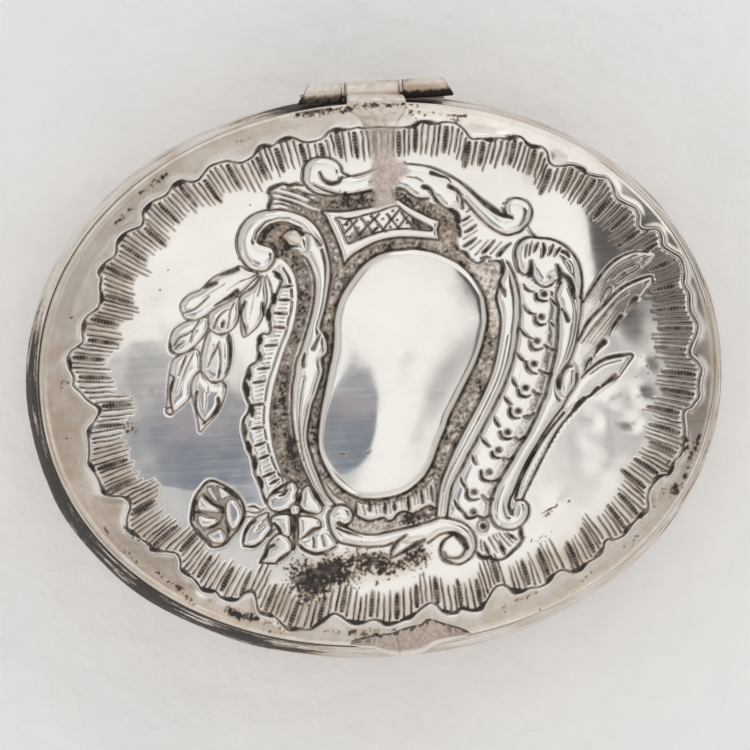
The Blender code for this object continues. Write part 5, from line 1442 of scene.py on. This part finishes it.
def oval_points(turns, offset, height, share=1.0):
    """Points round the lid's oval, a little further out by the offset."""
    power = 2 / OVAL_EXPONENT
    cos, sin = np.cos(turns), np.sin(turns)
    x = LID_LENGTH / 2 * share * np.sign(cos) * np.abs(cos) ** power
    y = LID_WIDTH / 2 * share * np.sign(sin) * np.abs(sin) ** power
    gx = np.sign(x) * np.abs(2 * x / LID_LENGTH) ** (OVAL_EXPONENT - 1) * 2 / LID_LENGTH
    gy = np.sign(y) * np.abs(2 * y / LID_WIDTH) ** (OVAL_EXPONENT - 1) * 2 / LID_WIDTH
    size = np.maximum(np.hypot(gx, gy), 1e-9)
    return np.stack([x + offset * gx / size, y + offset * gy / size, np.ones_like(x) * height], -1)


LID_COLUMNS = 704
LID_ROWS = 560
TOP_SHARE = 0.992
# The turned edge from the face inwards: height, share of the way out, and ink; the ink is partly tarnish and partly
# painted shade of the seam above the side
LID_EDGE_RINGS = [
    (LID_EDGE_Z + 0.00003, 0.9975, 0.0), (LID_EDGE_Z - 0.0001, 1.0, 0.35), (LID_RIM_TOP_Z + 0.0003, 1.0, 0.85),
    (LID_RIM_TOP_Z + 0.00005, 0.9985, 0.85), (LID_RIM_TOP_Z + 0.00005, 0.975, 0.6)]
# The back: points skipped round it, rings, share of the way out, share of the relief, and depth under the face
UNDER_STEP = 8
UNDER_RINGS = 44
UNDER_SHARE = 0.965
UNDER_RELIEF = 0.92
UNDER_DEPTH = LID_SHEET * 0.75
UV_SPAN = 0.0582


def lid_top_points(x, y):
    """The chased face at places on the lid, and where they lie in the picture."""
    plain = dome(x, y)
    pixels = pixel_of(np.stack([x, y, plain], -1))
    share = oval_share(x, y)
    hold = smoothstep(1.0, 0.985, share)
    lift = read(HEIGHT, pixels) * MM * hold
    drop = -0.00006 * smoothstep(0.975, 1.0, share)
    points = np.stack([x, y, plain + lift + drop], -1)
    return points, pixels


def build_lid():
    """The lid's sheet: a fine face that follows the drawn relief, a turned edge and the hollow back."""
    u, v = np.meshgrid(np.linspace(-1, 1, LID_COLUMNS), np.linspace(-1, 1, LID_ROWS))
    xd, yd = u * np.sqrt(1 - v * v / 2), v * np.sqrt(1 - u * u / 2)
    radius = np.minimum(np.hypot(xd, yd), 1.0) * TOP_SHARE
    angle = np.arctan2(yd, xd)
    flat = oval_points(angle.ravel(), 0.0, 0.0, radius.ravel())
    top, pixels = lid_top_points(flat[:, 0], flat[:, 1])
    faces = grid_faces(LID_ROWS, LID_COLUMNS)
    index = np.arange(LID_ROWS * LID_COLUMNS).reshape(LID_ROWS, LID_COLUMNS)
    loop = np.concatenate([index[0, :-1], index[:-1, -1], index[-1, :0:-1], index[:0:-1, 0]])
    count = len(loop)
    turns = angle.ravel()[loop]
    points = [top]
    start = len(top)
    previous = loop.tolist()
    for height, share, _ in LID_EDGE_RINGS:
        points.append(oval_points(turns, 0.0, height, share))
        current = list(range(start, start + count))
        faces += band_faces(previous, current)
        previous = current
        start += count
    # the back, which follows the relief loosely
    soft = blur(HEIGHT, 2.2)

    def back(x, y):
        plain = dome(x, y)
        lift = read(soft, pixel_of(np.column_stack([x, y, plain]))) * MM
        return np.column_stack([x, y, plain + lift * UNDER_RELIEF - UNDER_DEPTH])

    coarse_turns = turns[::UNDER_STEP]
    coarse = len(coarse_turns)
    for number, share in enumerate(UNDER_SHARE * (1 - np.linspace(0, 1, UNDER_RINGS)[:-1] ** 1.15)):
        points.append(back(*oval_points(coarse_turns, 0.0, 0.0, share)[:, :2].T))
        current = list(range(start, start + coarse))
        if number:
            faces += band_faces(previous, current)
        else:
            closed = previous + previous[:1]
            for a in range(coarse):
                after = current[(a + 1) % coarse]
                run = closed[a * UNDER_STEP:(a + 1) * UNDER_STEP + 1 if a < coarse - 1 else None]
                half = len(run) // 2
                for k, (one, two) in enumerate(zip(run, run[1:])):
                    faces.append((one, current[a] if k < half else after, two))
                faces.append((current[a], after, run[half]))
        previous = current
        start += coarse
    points.append(back(np.zeros(1), np.zeros(1)))
    for one, two in zip(previous, previous[1:] + previous[:1]):
        faces.append((one, start, two))
    points = np.vstack(points)
    lid = make_object("lid_sheet", points, faces, LID_SILVER, "lid", ["lid_panel"])
    mesh = lid.data
    edge = count * len(LID_EDGE_RINGS)
    # painted shade: the turned edge is darkened for the seam's shadow, over its tarnish
    edge_shade_ink = np.repeat([ink for _, _, ink in LID_EDGE_RINGS], count)
    paint(lid, len(top) + edge, ink=np.concatenate([read(INK, pixels), edge_shade_ink]),
          warm=np.concatenate([read(WARM, pixels), np.full(edge, 0.5)]),
          solder=np.concatenate([read(SOLDER, pixels), np.zeros(edge)]))
    layer = mesh.uv_layers.new(name="OFBake")
    spots = np.zeros(len(mesh.loops), np.int32)
    mesh.loops.foreach_get("vertex_index", spots)
    plane = 0.5 + points[:, :2] / UV_SPAN
    layer.data.foreach_set("uv", plane[spots].ravel().astype(np.float32))


def wall_offset(height):
    """How far the side stands out past the lid's oval at a height."""
    if height >= WALL_BULGE_HEIGHT:
        share = (height - WALL_BULGE_HEIGHT) / (BODY_HEIGHT - WALL_BULGE_HEIGHT)
        return WALL_BULGE * (1 - share ** 2)
    share = (WALL_BULGE_HEIGHT - height) / (WALL_BULGE_HEIGHT - WALL_FOOT_Z)
    return WALL_BULGE - (WALL_BULGE + WALL_FOOT_INSET) * share ** 2


WALL_SPOKES = 1080
WALL_STEPS = 56
# How dirty the side is at each turn round it in degrees; the peak at 83 to 97 degrees, under the hinge, is painted
# shade below the tubes, the rest is tarnish
WALL_DIRT_AND_SHADE = [(0, 0.25), (20, 0.3), (45, 0.12), (70, 0.2), (83, 0.9), (90, 0.95), (97, 0.9), (106, 0.35), (120, 0.12),
             (150, 0.15), (172, 0.45), (185, 0.9), (200, 1.0), (215, 0.85), (228, 1.0), (240, 0.9), (252, 0.55),
             (262, 0.2), (290, 0.15), (320, 0.2), (340, 0.35), (360, 0.25)]
# Dents of the side: turn in radians, level as a share, width, height and depth in millimetres
WALL_DENTS = [(0.4, 0.5, 0.10, 0.25, 0.10), (1.9, 0.4, 0.12, 0.2, 0.08), (3.35, 0.6, 0.14, 0.3, 0.16),
              (3.75, 0.35, 0.08, 0.25, 0.14), (4.15, 0.6, 0.10, 0.25, 0.12), (5.3, 0.5, 0.13, 0.3, 0.07),
              (2.75, 0.7, 0.07, 0.2, 0.08), (5.9, 0.35, 0.08, 0.2, 0.06)]


def build_wall():
    """The bulged side, with the shallow dents of long use."""
    turns = np.linspace(0, 2 * math.pi, WALL_SPOKES, endpoint=False)
    patches = SEED.standard_normal((WALL_STEPS + 1, WALL_SPOKES))
    for size, axis in ((1, 0), (6, 1), (1, 0), (6, 1)):
        patches = sum(np.roll(patches, shift, axis) for shift in range(-size, size + 1))
    patches /= patches.std()
    fine = np.random.default_rng(11).standard_normal((WALL_STEPS + 1, WALL_SPOKES))
    fine = fine + np.roll(fine, 1, 1)
    fine /= fine.std()
    # tarnish round the side, with painted shade under the hinge
    zone = np.interp(np.degrees(turns), *np.array(WALL_DIRT_AND_SHADE).T)
    rings, ink, warm = [], [], []
    for step in range(WALL_STEPS + 1):
        share = math.sin(step / WALL_STEPS * math.pi / 2)
        height = WALL_FOOT_Z + (BODY_HEIGHT - WALL_FOOT_Z) * share
        # painted shade: the top of the side, under the lid's edge, is darkened for the seam's shadow
        seam = smoothstep(0.0115 - 0.0003 * zone, 0.0117, height)
        belt = math.exp(-((share - 0.76) / 0.34) ** 2)
        flecks = 0.28 * fine[step] + 0.60 * patches[step]
        dirt = smoothstep(0.25, 1.2, 1.95 * zone * belt + (0.2 + 0.5 * zone) * flecks - 0.12)
        ink.append(np.maximum(0.85 * seam, 0.9 * dirt))
        warm.append(0.30 + 0.45 * zone + 0.2 * patches[step])
        dip = 0.012 + 0.012 * np.sin(turns * 23 + 5 * share) * np.sin(turns * 7 + 9 * share)
        for turn, level, wide, tall, deep in WALL_DENTS:
            gap = np.abs((turns - turn + math.pi) % (2 * math.pi) - math.pi)
            dip += deep * np.exp(-(gap / wide) ** 2 - ((share - level) / tall) ** 2)
        held = smoothstep(0, 0.12, share) * smoothstep(1, 0.9, share)
        rings.append(oval_points(turns, wall_offset(height) - dip * MM * held, height))
    rings[0][:, 2] += 0.00012
    for inset in (0.0002, WALL_THICKNESS - 0.0001):
        rings.append(oval_points(turns, wall_offset(BODY_HEIGHT) - inset, BODY_HEIGHT))
    for step in range(WALL_STEPS, -1, -2):
        height = WALL_FOOT_Z + (BODY_HEIGHT - WALL_FOOT_Z) * step / WALL_STEPS
        rings.append(oval_points(turns, wall_offset(height) - WALL_THICKNESS, min(height, BODY_HEIGHT - 0.0001)))
    faces = grid_faces(len(rings), WALL_SPOKES, ring=True)
    wall = make_object("side_wall", np.vstack(rings), faces, WALL_SILVER, "body", ["body_wall"])
    paint(wall, len(ink) * WALL_SPOKES, ink=np.concatenate(ink), warm=np.concatenate(warm))


def build_knuckle(name, low, high, slant_low, slant_high, body, node, dirt):
    """A tube rolled from sheet, with a seam, worn ends and a slightly uneven skin."""
    sides, steps = 56, 26
    turns = np.linspace(0, 2 * math.pi, sides, endpoint=False)

    def ring(share, radius, wobble):
        lean = -np.cos(turns)
        x = low + (high - low) * share
        x = x + slant_low * lean * (1 - share) + slant_high * lean * share
        seam = np.exp(-((turns - 4.2) / 0.07) ** 2) * 0.00009
        rough = 1 - wobble * (0.5 + 0.5 * np.sin(turns * 3 + share * 11) * np.sin(share * 17 + turns))
        r = radius * rough - (seam if radius > 0.0006 else 0)
        return np.stack([x * np.ones(sides), AXIS[1] + r * np.cos(turns), AXIS[2] + r * np.sin(turns)], -1)

    rings = [ring(0.0, BARREL_RADIUS * 0.9, 0)]
    rings += [ring(0.012 + 0.976 * step / steps, BARREL_RADIUS, 0.03) for step in range(steps + 1)]
    rings.append(ring(1.0, BARREL_RADIUS * 0.9, 0))
    bore = PIN_RADIUS + PIN_CLEARANCE
    rings += [ring(share, radius, 0) for share, radius in ((1.0, bore * 1.12), (0.985, bore), (0.015, bore),
                                                           (0.0, bore * 1.12))]
    faces = grid_faces(len(rings), sides, ring=True, flip=True)
    tube = make_object(name, np.vstack(rings), faces, KNUCKLE_SILVER, body, [node])
    share = np.repeat(np.linspace(0, 1, steps + 3), sides)
    around = np.tile(turns, steps + 3)
    rough = 0.15 * np.sin(share * 23 + 2 * around) + 0.12 * np.sin(share * 51 - around * 3)
    # painted shade: the half of each tube that faces the lid is darkened and browned, as much as dirt says
    shaded_half = smoothstep(-0.10, -0.55, np.cos(around) + 0.6 * rough)
    ends = np.exp(-(share / 0.05) ** 2) + np.exp(-((1 - share) / 0.05) ** 2)
    paint(tube, len(share), ink=dirt * shaded_half + 0.7 * ends + dirt * rough * 0.6,
          warm=0.25 + 0.75 * dirt * smoothstep(0.7, 0.0, np.cos(around)))


def surface_height(x, y):
    """The finished face of the lid in metres."""
    return lid_top_points(x, y)[0][:, 2]


# The strap's two sides, from the lid's edge inwards
STRAP_LEFT = [(347, 101), (347, 107), (353, 114), (361, 121), (364, 131), (371, 146), (371, 157)]
STRAP_RIGHT = [(406, 101), (406, 107), (404, 114), (398, 122), (395, 131), (393, 140), (392, 148), (395, 157)]
STRAP_ROWS = 110
STRAP_COLUMNS = 76
STRAP_TURN_ROWS = 14        # rows from the lid's edge down to the tube
STRAP_END_ROWS = 14         # rows over which the far end thins out


def strap_lumps():
    """Slow random lumps, with a margin cut off that the smoothing spoils."""
    margin = 20
    lump = SEED.standard_normal((STRAP_ROWS + 2 * margin, STRAP_COLUMNS + 2 * margin))
    kernel = np.ones(7) / 7
    for axis in (0, 1):
        for _ in range(3):
            lump = np.apply_along_axis(lambda row: np.convolve(row, kernel, "same"), axis, lump)
    lump = lump[margin:-margin, margin:-margin]
    return lump / lump.std()


def build_strap():
    """The soldered strap from the middle tube over the lid's edge."""
    left, right = resample(STRAP_LEFT, STRAP_ROWS), resample(STRAP_RIGHT, STRAP_ROWS)
    lump = strap_lumps()
    across = np.linspace(0, 1, STRAP_COLUMNS)
    from_side = np.minimum(across, 1 - across)
    body = shoulder_of(np.minimum(1, from_side / 0.12))
    top, under, drawn = [], [], []
    for j in range(STRAP_ROWS):
        pixels = left[j] + (right[j] - left[j]) * across[:, None]
        places = lid_place(pixels)
        drawn.append([read(INK, pixels), read(WARM, pixels)])
        height = surface_height(places[:, 0], places[:, 1])
        end = shoulder_of(min(1, (STRAP_ROWS - 1 - j) / STRAP_END_ROWS))
        thin = 1 - 0.8 * smoothstep(0.2, 0.45, j / STRAP_ROWS)
        thick = 0.00009 * body * end * (1 + 0.3 * lump[j]) * thin + 0.00002
        top.append(np.column_stack([places[:, :2], height + thick]))
        under.append(np.column_stack([places[:, :2], height - 0.00012]))
    # from the lid's edge down to the tube
    x, y, z = top[0].T
    turned, turned_under = [], []
    for share in np.arange(STRAP_TURN_ROWS, 0, -1) / STRAP_TURN_ROWS:
        angle = share * math.pi / 2
        out = y + 0.00075 * math.sin(angle)
        down = z + (AXIS[2] + BARREL_RADIUS * 0.5 - z) * (1 - math.cos(angle))
        narrow = AXIS[0] + (x - AXIS[0]) * (1 - 0.10 * share)
        turned.append(np.column_stack([narrow, out, down]))
        turned_under.append(np.column_stack([narrow, out - 0.00035, down - 0.00022]))
    points, faces = slab(turned + top, turned_under + under)
    strap = make_object("hinge_strap", points, faces, SOLDER_SILVER, "lid", ["lid_hinge_strap"])
    rows = STRAP_TURN_ROWS + STRAP_ROWS
    count = rows * STRAP_COLUMNS
    rim = np.tile(from_side, rows)
    cloud = np.resize(lump.ravel(), count)
    along = np.repeat(np.linspace(0, 1, rows), STRAP_COLUMNS)
    plain = np.zeros(STRAP_TURN_ROWS * STRAP_COLUMNS)
    ink, warm = [np.concatenate([plain, *(row[k] for row in drawn)]) for k in (0, 1)]
    ink = np.maximum(ink, 0.35 * smoothstep(0.06, 0.0, rim + 0.05 * cloud) * smoothstep(0.2, 1.0, cloud))
    paint(strap, count, ink=ink, warm=np.maximum(warm, 0.32 + 0.12 * cloud),
          solder=smoothstep(0.30, 0.62, along + 0.05 * cloud) * (0.65 + 0.2 * cloud))


# The thumb plate's upper and lower outlines
LIP_TOP = [
    (352, 641), (362, 638), (376, 635.5), (392, 633), (402, 629), (412, 626), (421, 624), (427, 619), (433, 619.5),
    (441, 622), (450, 625), (460, 628), (468, 631)]
LIP_LOW = [(350, 645), (360, 647), (372, 648), (380, 651), (388, 654), (400, 656), (415, 655), (426, 651), (436, 645),
           (447, 641), (458, 638), (466, 636), (472, 634)]
LIP_COLUMNS = 90
LIP_ROWS = 30
# Dark marks on the plate: share along it and share down it
LIP_MARKS = [(0.38, 0.3), (0.40, 0.75), (0.39, 0.5)]


def build_lip():
    """The soldered thumb plate, with its bright turned lip."""
    upper, lower = resample(LIP_TOP, LIP_COLUMNS), resample(LIP_LOW, LIP_COLUMNS)
    along = np.linspace(0, 1, LIP_COLUMNS)
    ends = shoulder_of(np.minimum(1, np.minimum(along, 1 - along) / 0.10))
    top, under = [], []
    for down in np.linspace(0, 1, LIP_ROWS):
        places = lid_place(upper + (lower - upper) * down)
        share = oval_share(places[:, 0], places[:, 1])
        sit = np.where(share < 0.99, surface_height(places[:, 0], places[:, 1]), LID_EDGE_Z + 0.00002)
        rise = shoulder_of(min(1, down / 0.16))
        bead = 0.00016 * math.exp(-((down - 0.86) / 0.10) ** 2)
        fall = 0.00040 * smoothstep(0.93, 1.0, down)
        thick = (0.00016 * rise + bead) * ends + 0.00004
        wave = 0.00001 * np.sin(along * 31 + down * 7) * np.sin(down * 9)
        top.append(np.column_stack([places[:, :2], sit + thick + wave * ends - fall]))
        under.append(np.column_stack([places[:, :2], sit - 0.0001 - fall]))
    points, faces = slab(top, under)
    plate = make_object("thumb_plate", points, faces, SOLDER_SILVER, "lid", ["thumb_lip"])
    level = np.repeat(np.linspace(0, 1, LIP_ROWS), LIP_COLUMNS)
    where = np.tile(along, LIP_ROWS)
    jag = 0.05 * np.sin(where * 47) + 0.05 * np.sin(where * 91 + 2) + 0.03 * np.sin(where * 173)
    marks = sum(np.exp(-((where - x) / 0.008) ** 2 - ((level - y) / 0.12) ** 2) for x, y in LIP_MARKS)
    stained = 0.75 * smoothstep(0.80, 0.94, where + jag) * smoothstep(0.7, 0.4, level)
    stained = np.maximum(stained, 0.6 * smoothstep(0.22, 0.08, where - jag) * smoothstep(0.75, 0.5, level))
    ink = np.maximum(0.9 * smoothstep(0.16, 0.05, level + jag), np.maximum(0.8 * marks, stained))
    paint(plate, len(level), ink=ink, warm=0.45 * smoothstep(0.95, 0.7, level),
          solder=0.95 * smoothstep(0.86, 0.74, level) * (1 - 0.5 * stained))


build_lid()
build_wall()
build_knuckle("tube_left", -0.0048, -0.0015, -0.00045, 0.0, "body", "body_knuckle_left", 0.7)
build_knuckle("tube_right", 0.0037, 0.0076, 0.0, 0.00045, "body", "body_knuckle_right", 1.0)
build_knuckle("tube_middle", -0.00125, 0.00345, 0.0, 0.0, "lid", "lid_knuckle", 0.12)
build_strap()
build_lip()
for node_name, metal in (("base_plate", BODY_SILVER), ("body_bezel", INSIDE_SILVER), ("hinge_bearer", SHADED_BEARER_SILVER),
                         ("hinge_pin", PIN_SILVER), ("lid_rim", BODY_SILVER)):
    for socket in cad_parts[node_name].material_slots:
        socket.material = metal


# Floor and light


FLOOR_REACH = 1.6
FLOOR_CELLS = 8
FLOOR_TONES = ((0.93, 0.935, 0.94), (0.97, 0.97, 0.97))
FLOOR_GLOW = 0.10           # seen by the camera and in mirrors only


def build_floor():
    """A plain pale floor with a faint plaster grain."""
    spots = np.linspace(-FLOOR_REACH, FLOOR_REACH, FLOOR_CELLS + 1)
    gx, gy = np.meshgrid(spots, spots)
    points = np.stack([gx.ravel(), gy.ravel(), np.zeros(gx.size)], -1)
    mesh = bpy.data.meshes.new("floor")
    mesh.from_pydata(points.tolist(), [], grid_faces(FLOOR_CELLS + 1, FLOOR_CELLS + 1))
    m = Nodes("plaster")
    where = m.add("ShaderNodeTexCoord").outputs["Object"]
    wide = m.noise(where, 90, 4, 0.55)
    small = m.noise(where, 420, 3, 0.5)
    relief = m.math("MULTIPLY_ADD", small, 0.3, wide)
    bump = m.add("ShaderNodeBump", {"Strength": 0.5, "Distance": 0.0016, "Height": relief}).outputs[0]
    tone = m.mix(m.range(wide, 0.3, 0.7, 0.0, 1.0), *FLOOR_TONES)
    path = m.add("ShaderNodeLightPath").outputs
    seen = m.math("MAXIMUM", path["Is Camera Ray"], path["Is Glossy Ray"])
    plaster = m.finish("ShaderNodeBsdfPrincipled", {
        "Base Color": tone, "Roughness": 0.75, "Normal": bump, "Emission Color": (1.0, 1.0, 1.0, 1.0),
        "Emission Strength": m.math("MULTIPLY", seen, FLOOR_GLOW)})
    floor = bpy.data.objects.new("floor", mesh)
    mesh.materials.append(plaster)
    bpy.context.scene.collection.objects.link(floor)


# The room's tone from below (0) to straight up (1)
ROOM = [(0.0, (0.60, 0.59, 0.58)), (0.583, (0.60, 0.59, 0.58)), (0.767, (0.64, 0.63, 0.62)),
        (0.883, (0.73, 0.72, 0.705)), (0.942, (0.92, 0.91, 0.895)), (0.975, (1.0, 0.995, 0.98))]
# Soft lamps: place, side of the square and power
LAMPS = {"key": ((0.50, 0.90, 0.54), 1.1, 2.5), "fill": ((-0.86, -0.56, 0.58), 1.2, 2.6)}
# Soft cards round the table: how far each lies from straight up towards +X and towards +Y in degrees,
# how wide and how soft it is in degrees, its tone and its weight
CARDS = [
    (-22, -2, 7.0, 3.0, (0.40, 0.34, 0.30), 0.8),
    (-21, 12, 6.0, 3.0, (0.40, 0.40, 0.39), 0.8),
    (-15, 23, 5.0, 2.5, (0.33, 0.28, 0.25), 0.75),
    (-17, -20, 6.0, 2.5, (0.20, 0.14, 0.10), 0.75),
    (12, 30, 9.0, 4.0, (0.93, 0.92, 0.90), 0.9),
    (-55, -32, 26.0, 8.0, (0.09, 0.07, 0.06), 0.9),
    (22, -62, 24.0, 8.0, (0.92, 0.87, 0.80), 0.9),
    (31, 20, 6.5, 2.0, (0.16, 0.145, 0.13), 0.9),
    (31, -7, 7.0, 2.5, (0.20, 0.18, 0.17), 0.9),
    (26.2, 0.5, 5.8, 1.2, (0.15, 0.14, 0.135), 0.9),
    (30, 54, 24.0, 8.0, (0.26, 0.25, 0.24), 0.95),
    (16.4, -3.6, 4.4, 2.2, (0.52, 0.515, 0.51), 0.7),
    (15.8, -4.4, 2.0, 1.4, (0.40, 0.40, 0.40), 0.6),
    (12.0, -9.0, 1.6, 1.0, (0.55, 0.53, 0.51), 0.6),
    (5.6, 1.6, 0.9, 0.8, (0.42, 0.42, 0.43), 0.6),
    (24, 7, 5.0, 1.5, (0.22, 0.21, 0.20), 0.85),
    (26, 13.5, 10.0, 1.2, (0.10, 0.093, 0.09), 0.97),
    (-8.5, -12, 5.5, 2.0, (0.42, 0.43, 0.45), 0.6),
    (-8.5, -2.5, 5.8, 2.0, (0.45, 0.42, 0.42), 0.6),
    (-9.6, 2.6, 2.2, 0.8, (0.30, 0.31, 0.33), 0.75),
    (-6.0, -7.0, 4.2, 0.8, (0.19, 0.225, 0.28), 0.92),
    (-6.8, -3.4, 4.4, 0.8, (0.19, 0.225, 0.28), 0.92),
    (-7.2, -1.4, 1.1, 0.9, (0.46, 0.37, 0.37), 0.75)]


def build_light():
    """The room as tones in the world, and two soft lamps."""
    world = Nodes("studio", world=True)
    where = world.add("ShaderNodeTexCoord").outputs["Generated"]
    split = world.add("ShaderNodeSeparateXYZ", {0: where}).outputs
    tone = world.ramp(world.range(split["Z"], -0.2, 1.0, 0.0, 1.0), ROOM)
    for across, along, wide, soft, card, weight in CARDS:
        tilt, turn = math.radians(math.hypot(across, along)), math.atan2(along, across)
        aim = (math.sin(tilt) * math.cos(turn), math.sin(tilt) * math.sin(turn), math.cos(tilt))
        near_card = world.add("ShaderNodeVectorMath", {0: where, 1: aim}, operation="DOT_PRODUCT").outputs["Value"]
        low, high = math.cos(math.radians(wide + soft)), math.cos(math.radians(max(wide - soft, 0.5)))
        share = world.range(near_card, low, high, 0.0, weight, interpolation_type="SMOOTHSTEP")
        tone = world.mix(share, tone, card)
    background = {"Color": tone, "Strength": 1.0}
    bpy.context.scene.world = world.finish("ShaderNodeBackground", background, "ShaderNodeOutputWorld")
    for name, (place, size, power) in LAMPS.items():
        data = bpy.data.lights.new(name, "AREA")
        data.size = size
        data.energy = power
        lamp = bpy.data.objects.new(name, data)
        lamp.location = place
        lamp.rotation_euler = (-Vector(place)).to_track_quat("-Z", "Y").to_euler()
        bpy.context.scene.collection.objects.link(lamp)


build_floor()
build_light()
bpy.context.scene.view_settings.view_transform = "Standard"

bpy.context.view_layer.update()
